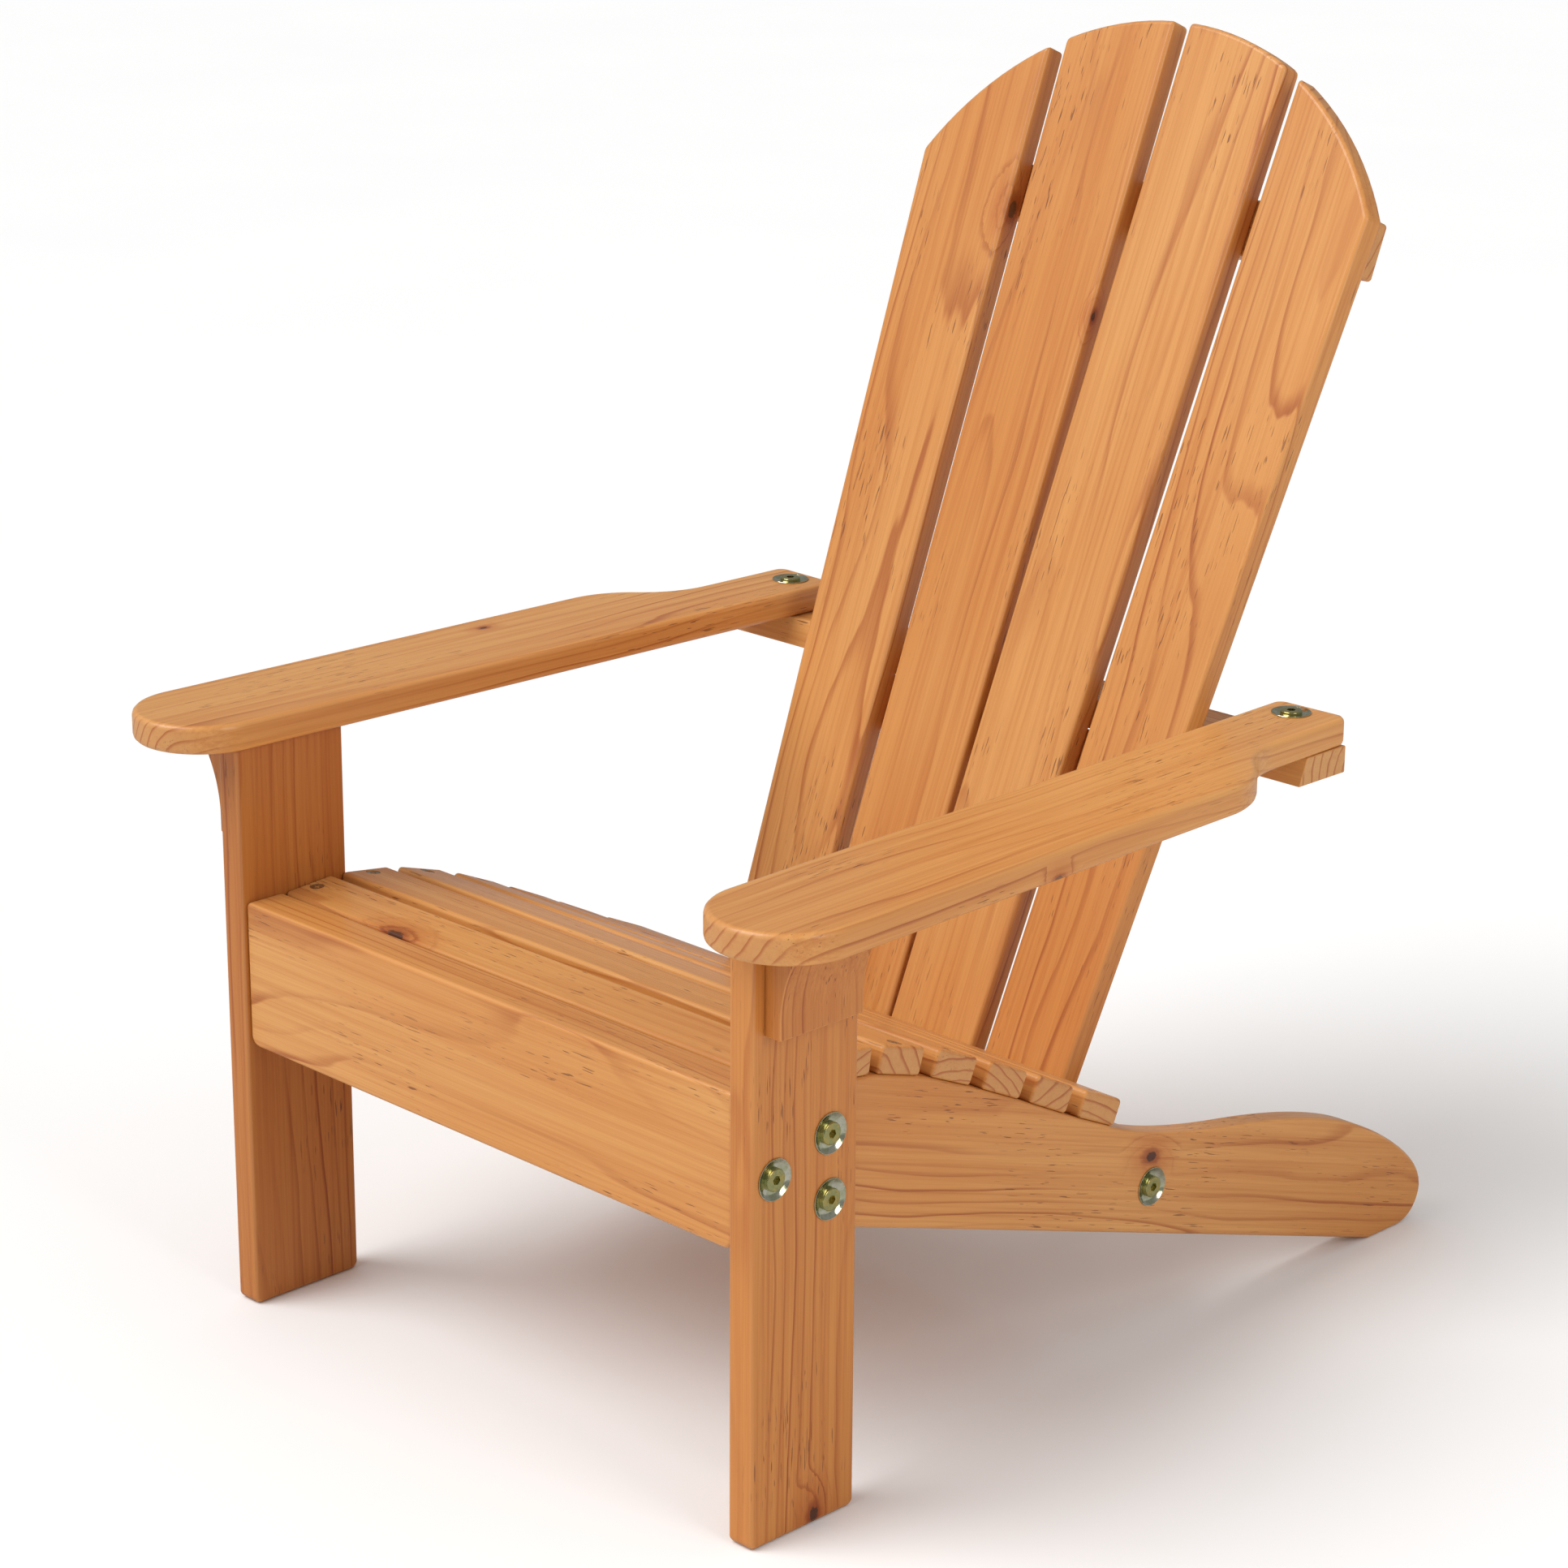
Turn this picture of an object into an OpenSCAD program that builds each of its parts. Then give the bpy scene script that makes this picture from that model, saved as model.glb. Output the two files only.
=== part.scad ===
// A child's slatted garden armchair with a fanned, arched back.
// It is made of flat softwood boards, bolted at the legs and screwed everywhere else.
// +Z is up and the sitter faces -Y. Left and right are as seen from in front, so left is -X.
// The origin is on the floor, below the middle of the chair.

/* [Seat] */
// Clear width between the two front legs
seat_w = 348; // [290:1:440]
// Height of the seat's front edge above the floor
seat_h = 219; // [180:1:270]
// Width of one seat slat, from front to back
seat_slat_w = 29.5; // [24:0.5:36]
// Thickness of the seat slats
seat_slat_t = 14; // [11:0.5:18]
// Slope of each seat slat in degrees, from the front one to the rear one
seat_slopes = [4, -8, -17, -24, -26, -27, -25]; // [-30:1:6]
// Gap behind each seat slat but the last
seat_gaps = [4, 5, 8.5, 9.5, 8.5, 10.5]; // [3:0.5:14]
// Gap between the apron and the first seat slat
apron_slat_gap = 1.5; // [1:0.5:4]

/* [Front legs and apron] */
// Width of a leg, from front to back
leg_w = 67; // [54:1:85]
// Thickness of a leg
leg_t = 15; // [12:0.5:20]
// Height of a leg, up to the underside of the arm
leg_h = 299; // [245:1:360]
// Radius of a leg's two bottom corners
leg_foot_r = 4; // [1:0.5:8]
// Height of the apron
apron_h = 76; // [60:1:95]
// Thickness of the apron
apron_t = 23; // [19:0.5:28]
// Distance of the apron's face behind the front of the legs
apron_setback = 2.5; // [0:0.5:6]
// Radius of the apron's two bottom corners
apron_corner_r = 6; // [2:0.5:10]

/* [Stringers] */
// Thickness of a stringer, the long side board that reaches the floor behind the seat
stringer_t = 15; // [12:0.5:20]
// Height of a stringer's front end, against the apron
stringer_front_h = 56.5; // [50:0.5:68]
// Run from the last seat slat to the stringer's rear end
stringer_tail = 258; // [210:1:310]
// Place of the hollow in the tail's top edge, as shares of the tail's run and height
dip_place = [0.36, 0.79]; // [0.3:0.01:0.85]
// Slope of the top edge in the hollow, in degrees
dip_slope = -10; // [-14:1:-6]
// Place of the hump in the tail's top edge, as shares of the tail's run and height
hump_place = [0.72, 0.6]; // [0.5:0.01:0.8]
// Slope of the top edge on the hump, in degrees
hump_slope = -22; // [-28:1:-16]
// Radius of the rounded rear end
toe_r = 19; // [12:0.5:24]
// Length of the flat that rests on the floor
toe_flat = 25; // [15:1:35]

/* [Back] */
// Lean of the back from upright, in degrees
recline = 23; // [18:0.5:28]
// Length of the back from floor level to its top, along its slope
back_top = 682.5; // [568:0.5:820]
// Gap between the last seat slat and the back
back_gap = 18.5; // [12:0.5:26]
// Thickness of the back slats
back_slat_t = 14; // [11:0.5:18]
// Width of an inner back slat at its foot and at the top of the back
inner_slat_w = [56, 69.5]; // [44:0.5:84]
// Width of an outer back slat at its foot and at the top of the back
outer_slat_w = [51.5, 72]; // [40:0.5:87]
// Gap between the two inner back slats at their feet and at the top of the back
centre_gap = [1, 10.2]; // [1:0.2:18]
// Gap between an inner and an outer back slat at their feet and at the top of the back
side_gap = [9, 10]; // [4:0.1:18]
// Radius of the arched top
arch_r = 175; // [160:1:215]
// Radius of the arch's two outer corners
arch_corner_r = 6; // [2:0.5:10]
// Height of the two braces behind the back slats
brace_h = 30; // [24:1:36]
// Thickness of the braces
brace_t = 14; // [11:0.5:18]
// Distance of a brace's ends inside the outer edges of the back
brace_inset = 6; // [0:0.5:12]
// Distance of the upper brace below the top of the back
brace_drop = 83.5; // [70:0.5:110]
// Height of the crossbar that joins the stringers behind the back slats
crossbar_h = 45; // [36:1:54]
// Thickness of the crossbar
crossbar_t = 23; // [19:0.5:28]
// Height of the crossbar's middle above the stringers' lower edge
crossbar_rise = 26; // [22:0.5:30]
// Length of the back slats below the crossbar
foot_overhang = 4; // [0:0.5:10]

/* [Arms] */
// Width of an arm
arm_w = 72; // [60:1:86]
// Thickness of an arm
arm_t = 15; // [12:0.5:20]
// Length of an arm
arm_len = 433.5; // [400:0.5:528]
// Reach of an arm in front of its leg
arm_front = 31.5; // [26:0.5:44]
// Reach of an arm inside the leg's inner face
arm_inset = 6; // [2:0.5:12]
// Turn of the arms towards each other at the back, in degrees
arm_toe_in = 1.8; // [0:0.1:3]
// Width of the arm's narrow tail
arm_tail_w = 43; // [36:1:50]
// Length of the narrow tail, behind the S curve
arm_tail_len = 59.5; // [45:0.5:70]
// Radius of both bends of the S curve
arm_bend_r = 50; // [40:1:60]
// Radius of the arm's two rear corners
arm_corner_r = 6; // [3:0.5:9]
// Thickness of the bar that carries the arms' rear ends
bar_t = 14; // [13:0.5:18]
// Height of a bracket
bracket_h = 50; // [42:1:60]
// Width of a bracket, from front to back
bracket_w = 52; // [44:1:62]
// Thickness of a bracket at its foot
bracket_foot_t = 10; // [9:0.5:14]
// Height of a bracket's straight foot, below the cove
bracket_foot_h = 8; // [4:0.5:12]
// Radius of a bracket's cove
cove_r = 60; // [54:1:80]

/* [Bolts and washers] */
// Diameter of the bolts
bolt_d = 6; // [5:0.5:6]
// Diameter of a bolt's head
bolt_head_d = 11; // [9:0.5:11]
// Height of a bolt's head
bolt_head_h = 2.6; // [2.2:0.1:3.4]
// Width across the flats of the hexagon socket
socket_w = 4; // [3:0.5:4]
// Clearance round a bolt in wood, on the radius
bolt_clear = 0.25; // [0.1:0.05:0.4]
// Clearance of a thread, or of a nut in its hole, on the radius
thread_clear = 0.05; // [0.02:0.01:0.1]
// Outer diameter of a dished washer
washer_d = 20; // [18:0.5:22]
// Height of a dished washer
washer_h = 2.6; // [2.2:0.1:3.4]
// Height of a washer's rim above the wood; the rest of the washer is let into it
washer_proud = 0.7; // [0.5:0.1:1.6]
// Thickness of a washer's sheet metal
washer_t = 0.9; // [0.7:0.1:1.2]
// Distance between the two bolts that hold a stringer to its leg
stringer_bolt_pitch = 32; // [24:1:36]
// Height of the upper one of these bolts below the seat's front edge
stringer_bolt_drop = 27.5; // [24:0.5:32]
// Height of the apron's bolts below the seat's front edge
apron_bolt_drop = 39.5; // [32:0.5:46]
// Distance of these bolts behind the front of the leg
stringer_bolt_y = 49; // [40:0.5:52]
// Distance of a bolt that enters end grain from the board's end to its barrel nut
barrel_nut_inset = 25; // [20:1:32]
// Diameter of a barrel nut
barrel_nut_d = 10; // [9:0.5:11]
// Length of a barrel nut
barrel_nut_len = 15; // [12:0.5:17]
// Diameter of a flanged insert nut's sleeve
insert_d = 9; // [8:0.5:10]
// Length of an insert nut's sleeve
insert_len = 11; // [8:0.5:11]
// Diameter of an insert nut's flange
insert_flange_d = 14; // [12:0.5:16]
// Thickness of an insert nut's flange
insert_flange_t = 1.2; // [0.8:0.1:1.6]

/* [Screws and dowels] */
// Diameter of the wood screws
screw_d = 3.6; // [3:0.1:4]
// Diameter of a screw's head
screw_head_d = 7.4; // [6.4:0.1:8]
// Depth of a screw's head below the wood
screw_sink = 0.3; // [0.1:0.1:1]
// Clearance round a screw or a dowel, on the radius
screw_clear = 0.05; // [0.02:0.01:0.1]
// Length of the seat's screws
seat_screw_len = 30; // [26:1:36]
// Wood left in front of a screw's tip
tip_cover = 4; // [3:0.5:5]
// Distance of a back slat's screws on each side of its middle
back_screw_x = 14; // [8:0.5:16]
// Distance of a bracket's screws on each side of its middle
bracket_screw_y = 15; // [10:0.5:18]
// Distance of a bracket's screws from the leg
bracket_screw_x = 14.5; // [13:0.5:16]
// Depth of wood between a bracket's screw heads and the arm
bracket_screw_depth = 13.5; // [12:0.5:16]
// Diameter of the dowels between leg and arm
arm_dowel_d = 8; // [6:0.5:8]
// Depth of these dowels in the leg and in the arm
arm_dowel_depth = [14, 10]; // [8:1:16]
// Diameter of the dowels between leg and bracket
bracket_dowel_d = 6; // [4:0.5:6]
// Depth of these dowels in the leg and in the bracket
bracket_dowel_depth = [8, 7]; // [6:0.5:8]
// Distance of all dowels on each side of the leg's middle
dowel_y = 16; // [12:0.5:19]

/* [Hidden] */
eps = 1; // how far a cutter stands out of the surface that it cuts
end_clear = 0.3; // between the slats' ends and the legs, and between the middle brace and the support bar
bolt_past_nut = 5; // length of a bolt beyond its barrel nut
bolt_room = 2; // depth of a blind bolt hole beyond the bolt's end
bracket_gap = 1; // least gap between a washer and the bracket above it
head_chamfer = 0.6; // on a bolt's head
socket_floor = 0.6; // metal left below a bolt's socket
washer_floor_gap = 0.5; // between a bolt's head and the start of the washer's slope
washer_clear = 0.05; // between a washer's slope and the wood
slot_w = 1.2; // screwdriver slot of a barrel nut
slot_depth = 1.6;
screw_tip_d = 0.6;
screw_tip_h = 5; // length of a screw's point
recess_w = 0.8; // cross recess of a screw
recess_depth = 1.4;
arm_bolt_in = 2.4; // distance of the arm's rear bolt from the tail's middle, towards the back
arc_step = 3; // degrees between the points of a curved edge
curve_steps = 14; // points along one stretch of the stringer's tail
$fn = 48;

oak = "burlywood";
pine = "peru";
zinc = "lightsteelblue";
yellow_zinc = "darkkhaki";

half_w = seat_w / 2;
leg_x = half_w + leg_t; // outer face of a leg
stringer_x = half_w - stringer_t; // inner face of a stringer
apron_rear = apron_setback + apron_t;
slats = len(seat_slopes);

// A step of length d in the direction of angle a, in the Y-Z plane.
function along(d, a) = d * [cos(a), sin(a)];

// Points on a circle, from angle a0 to angle a1.
function arc(centre, r, a0, a1) =
    let (n = max(2, ceil(abs(a1 - a0) / arc_step)))
    [for (i = [0 : n]) centre + along(r, a0 + (a1 - a0) * i / n)];

// Points after p0 on a smooth curve to p1, leaving in direction a0 and arriving in direction a1.
// h0 and h1 say how far the curve follows each direction.
function smooth(p0, a0, h0, p1, a1, h1) =
    let (q0 = p0 + along(h0, a0), q1 = p1 - along(h1, a1))
    [for (i = [1 : curve_steps])
        let (t = i / curve_steps, s = 1 - t)
        s * s * s * p0 + 3 * s * s * t * q0 + 3 * s * t * t * q1 + t * t * t * p1];

// Lower front corner of seat slat i, in the Y-Z plane. The slats follow each other like a chain.
first_slat = [apron_rear + apron_slat_gap, seat_h] - along(seat_slat_t, seat_slopes[0] + 90);
function slat_start(i) = i == 0 ? first_slat
    : slat_end(i - 1) + along(seat_gaps[i - 1], (seat_slopes[i - 1] + seat_slopes[i]) / 2);
function slat_end(i) = slat_start(i) + along(seat_slat_w, seat_slopes[i]);

seat_end = slat_end(slats - 1);
seat_top_end = seat_end + along(seat_slat_t, seat_slopes[slats - 1] + 90);

// Stringer: the outline's fixed points, in the Y-Z plane.
tail_end = seat_end[0] + stringer_tail;
stringer_nose = [apron_rear, first_slat[1] - stringer_front_h];
stringer_top_front = first_slat - along((first_slat[0] - apron_rear) / cos(seat_slopes[0]), seat_slopes[0]);
dip = [seat_end[0] + dip_place[0] * stringer_tail, dip_place[1] * seat_end[1]];
hump = [seat_end[0] + hump_place[0] * stringer_tail, hump_place[1] * seat_end[1]];
toe_top = [tail_end, toe_r];
toe_front = [tail_end - toe_r - toe_flat, 0];
under_slope = (toe_front[1] - stringer_nose[1]) / (toe_front[0] - stringer_nose[0]);

// Back: its own frame has X across, Y up the slope, and Z out of its front face.
// back_y is where the plane of the front face meets the floor.
back_y = seat_top_end[0] + back_gap - seat_top_end[1] * tan(recline);
slat_rear = -back_slat_t;
brace_rear = slat_rear - brace_t;
crossbar_rear = slat_rear - crossbar_t;
crossbar_mid = slat_rear - crossbar_t / 2;

// Y of a plane of the back, depth d behind its front face, at height z.
function back_plane_y(d, z) = back_y + z * tan(recline) + d / cos(recline);
// Distance up the slope at height z, on the plane at depth d.
function slope_at(d, z) = (z + d * sin(recline)) / cos(recline);

// Height of the crossbar's middle up the slope, so that it keeps its rise above the stringers' lower edge.
crossbar_s = (stringer_nose[1] + crossbar_rise - crossbar_mid * sin(recline)
    + under_slope * (back_y - crossbar_mid * cos(recline) - stringer_nose[0]))
    / (cos(recline) - under_slope * sin(recline));
crossbar_y = back_y + crossbar_s * sin(recline) - crossbar_mid * cos(recline);
crossbar_z = crossbar_s * cos(recline) + crossbar_mid * sin(recline);
foot_s = crossbar_s - crossbar_h / 2 - foot_overhang;

// Edges of the back slats: distance from the middle at the foot and at the top.
inner_near = centre_gap / 2;
inner_far = inner_near + inner_slat_w;
outer_near = inner_far + side_gap;
outer_far = outer_near + outer_slat_w;
function edge_x(edge, s) = edge[0] + (edge[1] - edge[0]) * (s - foot_s) / (back_top - foot_s);
function slat_mid_x(outer, s) = outer
    ? (edge_x(outer_near, s) + edge_x(outer_far, s)) / 2
    : (edge_x(inner_near, s) + edge_x(inner_far, s)) / 2;

// Arch: its centre, and the small arc that rounds its outer corner.
arch_s = back_top - arch_r;
function arch_point_s(x) = arch_s + sqrt(arch_r * arch_r - x * x);
side_lean = (outer_far[1] - outer_far[0]) / (back_top - foot_s);
side_angle = atan(side_lean);
corner_line = edge_x(outer_far, 0) - arch_corner_r / cos(side_angle);
corner_b = corner_line * side_lean - arch_s;
corner_c = corner_line * corner_line + arch_s * arch_s - pow(arch_r - arch_corner_r, 2);
corner_a = 1 + side_lean * side_lean;
corner_s = (-corner_b + sqrt(corner_b * corner_b - corner_a * corner_c)) / corner_a;
corner_x = corner_line + side_lean * corner_s;
corner_angle = atan2(corner_s - arch_s, corner_x);

upper_brace_s = back_top - brace_drop - brace_h / 2;
middle_brace_s = slope_at(back_slat_t, leg_h - bar_t) - end_clear - brace_h / 2;

// Arm: its own frame has its origin at the middle of the leg's top, before it is turned.
arm_in = -leg_t / 2 - arm_inset;
arm_out = arm_in + arm_w;
arm_start = -leg_w / 2 - arm_front;
arm_end = arm_start + arm_len;
arm_head_y = arm_start + arm_w / 2;
tail_out = arm_in + arm_tail_w;
bend_a = acos(1 - (arm_w - arm_tail_w) / (2 * arm_bend_r));
bend_len = 2 * arm_bend_r * sin(bend_a);
tail_start = arm_end - arm_tail_len;
arm_mid_x = half_w + leg_t / 2;
arm_top = leg_h + arm_t;

// Support bar, and the arm's rear bolt.
arm_rear_x = arm_mid_x + tail_out * cos(arm_toe_in) - arm_end * sin(arm_toe_in);
bar_rear = leg_w / 2 + arm_end * cos(arm_toe_in) + arm_in * sin(arm_toe_in);
arm_bolt_y = (bar_rear + back_plane_y(back_slat_t, leg_h)) / 2;
arm_bolt_x = arm_mid_x + ((arm_in + tail_out) / 2 - arm_bolt_in) * cos(arm_toe_in)
    - (arm_bolt_y - leg_w / 2) * tan(arm_toe_in);

// Middle of the whole chair, from the arms' rounded fronts to the stringers' rear ends.
arm_front_y = leg_w / 2 + (arm_in + arm_w / 2) * sin(arm_toe_in) + arm_head_y * cos(arm_toe_in) - arm_w / 2;
mid_y = (arm_front_y + tail_end) / 2;

apron_bolt = [(apron_setback + apron_rear) / 2, seat_h - apron_bolt_drop];
stringer_bolts = [for (i = [0, 1]) [stringer_bolt_y, seat_h - stringer_bolt_drop - i * stringer_bolt_pitch]];
end_bolt_len = leg_t + barrel_nut_inset + barrel_nut_d / 2 + bolt_past_nut;

// A bracket is made shorter where the leg leaves too little room above the upper bolt's washer.
washer_top = stringer_bolts[0][1] + washer_d / 2;
bracket_z = max(leg_h - bracket_h, washer_top + bracket_gap);
bracket_rise = leg_h - bracket_z;
bracket_dowel_z = bracket_z + bracket_foot_h + bracket_dowel_d / 2;
head_cone_h = (screw_head_d - screw_d) / 2;

// Washer: a dish with a flat floor, a bowl that gets steeper outwards, and a thin rim.
washer_sink = washer_h - washer_proud;
washer_floor_r = bolt_head_d / 2 + washer_floor_gap;
washer_rim_r = washer_d / 2;
washer_slope = atan2(washer_h - washer_t, washer_rim_r - washer_floor_r);
washer_skin = along(washer_t / 2, washer_slope + 90);
washer_mid = [(washer_floor_r + washer_rim_r) / 2, washer_h / 3];

// ---- Frames ----

// Moves the chair from the leg-front frame to its own frame.
module in_place() {
    translate([0, -mid_y, 0])
        children();
}

// The left-hand copy of a right-hand piece.
module on_side(side) {
    mirror([side < 0 ? 1 : 0, 0, 0])
        children();
}

module both_sides() {
    for (side = [-1, 1])
        on_side(side)
            children();
}

// A board of thickness t whose outline is drawn in the Y-Z plane, from x towards +X.
module side_board(x, t) {
    translate([x, 0, 0])
        rotate([90, 0, 90])
            linear_extrude(t)
                children();
}

// Frame of seat slat i: X across, Y along its underside to the back, Z up through it.
module at_slat(i) {
    translate([0, slat_start(i)[0], slat_start(i)[1]])
        rotate([seat_slopes[i], 0, 0])
            children();
}

module at_back() {
    translate([0, back_y, 0])
        rotate([90 - recline, 0, 0])
            children();
}

module at_arm() {
    translate([arm_mid_x, leg_w / 2, leg_h])
        rotate([0, 0, arm_toe_in])
            children();
}

// Turns an axis along Z so that its top points out of the right-hand side of the chair.
module facing_out(x, y, z) {
    translate([x, y, z])
        rotate([0, 90, 0])
            children();
}

// ---- Fasteners: each one's origin is on the wood's surface, and it goes in along -Z ----

// `length` is the depth of the bolt's end in the wood.
module bolt(length) {
    head_z = washer_t - washer_sink;
    difference() {
        union() {
            translate([0, 0, -length])
                cylinder(d = bolt_d, h = length + head_z);
            translate([0, 0, head_z])
                cylinder(d = bolt_head_d, h = bolt_head_h - head_chamfer);
            translate([0, 0, head_z + bolt_head_h - head_chamfer])
                cylinder(d1 = bolt_head_d, d2 = bolt_head_d - 2 * head_chamfer, h = head_chamfer);
        }
        translate([0, 0, head_z + socket_floor])
            cylinder(d = socket_w / cos(30), h = bolt_head_h, $fn = 6);
    }
}

module bolt_hole(length) {
    translate([0, 0, -length])
        cylinder(d = bolt_d + 2 * bolt_clear, h = length + eps);
}

module washer() {
    hole_r = bolt_d / 2 + bolt_clear;
    translate([0, 0, -washer_sink])
        rotate_extrude()
            polygon([
                [hole_r, 0], [washer_floor_r, 0], washer_mid - washer_skin,
                [washer_rim_r, washer_h - washer_t / 2], [washer_rim_r, washer_h],
                washer_mid + washer_skin, [washer_floor_r, washer_t], [hole_r, washer_t]
            ]);
}

// The hollow that a washer is let into, with a little room round it.
module washer_seat() {
    room = [washer_clear, 0];
    translate([0, 0, -washer_sink])
        rotate_extrude()
            polygon([
                [0, 0], [washer_floor_r, 0] + room, washer_mid - washer_skin + room,
                [washer_rim_r, washer_h - washer_t / 2] + room, [washer_rim_r, washer_h + eps] + room,
                [0, washer_h + eps]
            ]);
}

// A round nut that lies across the bolt; its own axis is Y and the bolt's is Z.
module barrel_nut() {
    rotate([90, 0, 0])
        difference() {
            translate([0, 0, -barrel_nut_len / 2])
                cylinder(d = barrel_nut_d, h = barrel_nut_len);
            rotate([90, 0, 0])
                translate([0, 0, -barrel_nut_d])
                    cylinder(d = bolt_d + 2 * thread_clear, h = 2 * barrel_nut_d);
            translate([-barrel_nut_d, -slot_w / 2, -barrel_nut_len / 2 - eps])
                cube([2 * barrel_nut_d, slot_w, slot_depth + eps]);
        }
}

// The hole for a barrel nut: it enters along -Y from y = reach to the nut's far end.
module barrel_nut_hole(reach) {
    translate([0, reach + eps, 0])
        rotate([90, 0, 0])
            cylinder(d = barrel_nut_d + 2 * thread_clear, h = reach + eps + barrel_nut_len / 2 + screw_clear);
}

// A sleeve nut with a flange, pushed in from the far side of the joint.
module insert_nut() {
    difference() {
        union() {
            translate([0, 0, -insert_len])
                cylinder(d = insert_d, h = insert_len);
            cylinder(d = insert_flange_d, h = insert_flange_t);
        }
        translate([0, 0, -insert_len - eps])
            cylinder(d = bolt_d + 2 * thread_clear, h = insert_len + insert_flange_t + 2 * eps);
    }
}

module insert_hole() {
    translate([0, 0, -insert_len - screw_clear])
        cylinder(d = insert_d + 2 * thread_clear, h = insert_len + screw_clear + eps);
}

module screw(length) {
    recess_len = screw_head_d / 2;
    difference() {
        union() {
            translate([0, 0, -screw_sink - head_cone_h])
                cylinder(d1 = screw_d, d2 = screw_head_d, h = head_cone_h);
            translate([0, 0, screw_tip_h - length])
                cylinder(d = screw_d, h = length - screw_tip_h - screw_sink - head_cone_h);
            translate([0, 0, -length])
                cylinder(d1 = screw_tip_d, d2 = screw_d, h = screw_tip_h);
        }
        for (turn = [0, 90])
            rotate([0, 0, turn])
                translate([-recess_len / 2, -recess_w / 2, -screw_sink - recess_depth])
                    cube([recess_len, recess_w, recess_depth + eps]);
    }
}

// The screw's shape again, with its clearance all round and at the tip.
module screw_hole(length) {
    head_r = screw_head_d / 2 + screw_clear;
    shank_r = screw_d / 2 + screw_clear;
    translate([0, 0, -length - screw_clear])
        cylinder(r = shank_r, h = length);
    translate([0, 0, -screw_sink - head_cone_h])
        cylinder(r1 = shank_r, r2 = head_r, h = head_cone_h);
    translate([0, 0, -screw_sink])
        cylinder(r = head_r, h = screw_sink + eps);
}

// ---- Places of the fasteners, the same for the fastener and its hole ----

module at_apron_bolt() {
    facing_out(leg_x, apron_bolt[0], apron_bolt[1])
        children();
}

module at_stringer_bolts() {
    for (p = stringer_bolts)
        facing_out(leg_x, p[0], p[1])
            children();
}

module at_crossbar_bolt() {
    facing_out(half_w, crossbar_y, crossbar_z)
        children();
}

module at_arm_bolt() {
    translate([arm_bolt_x, arm_bolt_y, arm_top])
        children();
}

module at_seat_screws(i) {
    at_slat(i)
        for (side = [-1, 1])
            translate([side * (half_w - stringer_t / 2), seat_slat_w / 2, seat_slat_t])
                children();
}

// Two screws for each back slat, at height s, going forward from the surface at depth `rear`.
module at_back_screws(s, rear) {
    at_back()
        for (side = [-1, 1], outer = [false, true], step = [-1, 1])
            translate([side * (slat_mid_x(outer, s) + step * back_screw_x), s, rear])
                rotate([180, 0, 0])
                    children();
}

bar_screw_z = leg_h - bar_t / 2;
bar_screw_s = slope_at(back_slat_t, bar_screw_z);
bar_screw_len = bar_rear - back_plane_y(0, bar_screw_z) - tip_cover;
module at_bar_screws() {
    for (side = [-1, 1], outer = [false, true])
        translate([side * slat_mid_x(outer, bar_screw_s), bar_rear, bar_screw_z])
            rotate([-90, 0, 0])
                children();
}

bracket_screw_len = bracket_screw_depth + arm_t - tip_cover;
module at_bracket_screws() {
    for (step = [-1, 1])
        translate([leg_x + bracket_screw_x, leg_w / 2 + step * bracket_screw_y, leg_h - bracket_screw_depth])
            rotate([180, 0, 0])
                children();
}

module at_arm_dowels() {
    for (step = [-1, 1])
        translate([arm_mid_x, leg_w / 2 + step * dowel_y, leg_h])
            children();
}

module at_bracket_dowels() {
    for (step = [-1, 1])
        facing_out(leg_x, leg_w / 2 + step * dowel_y, bracket_dowel_z)
            children();
}

// A dowel from depth[0] below the joint to depth[1] above it; `gap` makes it the hole.
module dowel(d, depth, gap) {
    translate([0, 0, -depth[0] - gap])
        cylinder(d = d + 2 * gap, h = depth[0] + depth[1] + 2 * gap);
}

// ---- Boards ----

module leg() {
    r = leg_foot_r;
    difference() {
        side_board(half_w, leg_t)
            union() {
                translate([0, r])
                    square([leg_w, leg_h - r]);
                translate([r, 0])
                    square([leg_w - 2 * r, r + eps]);
                for (y = [r, leg_w - r])
                    translate([y, r])
                        circle(r);
            }
        at_apron_bolt() {
            bolt_hole(leg_t + eps);
            washer_seat();
        }
        at_stringer_bolts() {
            bolt_hole(leg_t + eps);
            washer_seat();
        }
        at_arm_dowels()
            dowel(arm_dowel_d, arm_dowel_depth, screw_clear);
        at_bracket_dowels()
            dowel(bracket_dowel_d, bracket_dowel_depth, screw_clear);
    }
}

module stringer_outline() {
    nose_height = hump[1] - toe_r;
    polygon(concat(
        [stringer_nose, stringer_top_front],
        [for (i = [0 : slats - 1], p = [slat_start(i), slat_end(i)]) p],
        smooth(seat_end, seat_slopes[slats - 1], (dip[0] - seat_end[0]) / 3,
            dip, dip_slope, (dip[0] - seat_end[0]) / 3),
        smooth(dip, dip_slope, (hump[0] - dip[0]) / 3,
            hump, hump_slope, (hump[0] - dip[0]) / 3),
        smooth(hump, hump_slope, nose_height / 2,
            toe_top, -90, nose_height / 3),
        arc([tail_end - toe_r, toe_r], toe_r, -arc_step, -90),
        [toe_front]
    ));
}

module stringer() {
    difference() {
        side_board(stringer_x, stringer_t)
            stringer_outline();
        at_stringer_bolts() {
            bolt_hole(leg_t + stringer_t + eps);
            translate([0, 0, -leg_t - stringer_t])
                mirror([0, 0, 1])
                    insert_hole();
        }
        at_crossbar_bolt() {
            bolt_hole(stringer_t + eps);
            washer_seat();
        }
        for (i = [0 : slats - 1])
            at_seat_screws(i)
                screw_hole(seat_screw_len);
    }
}

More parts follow.
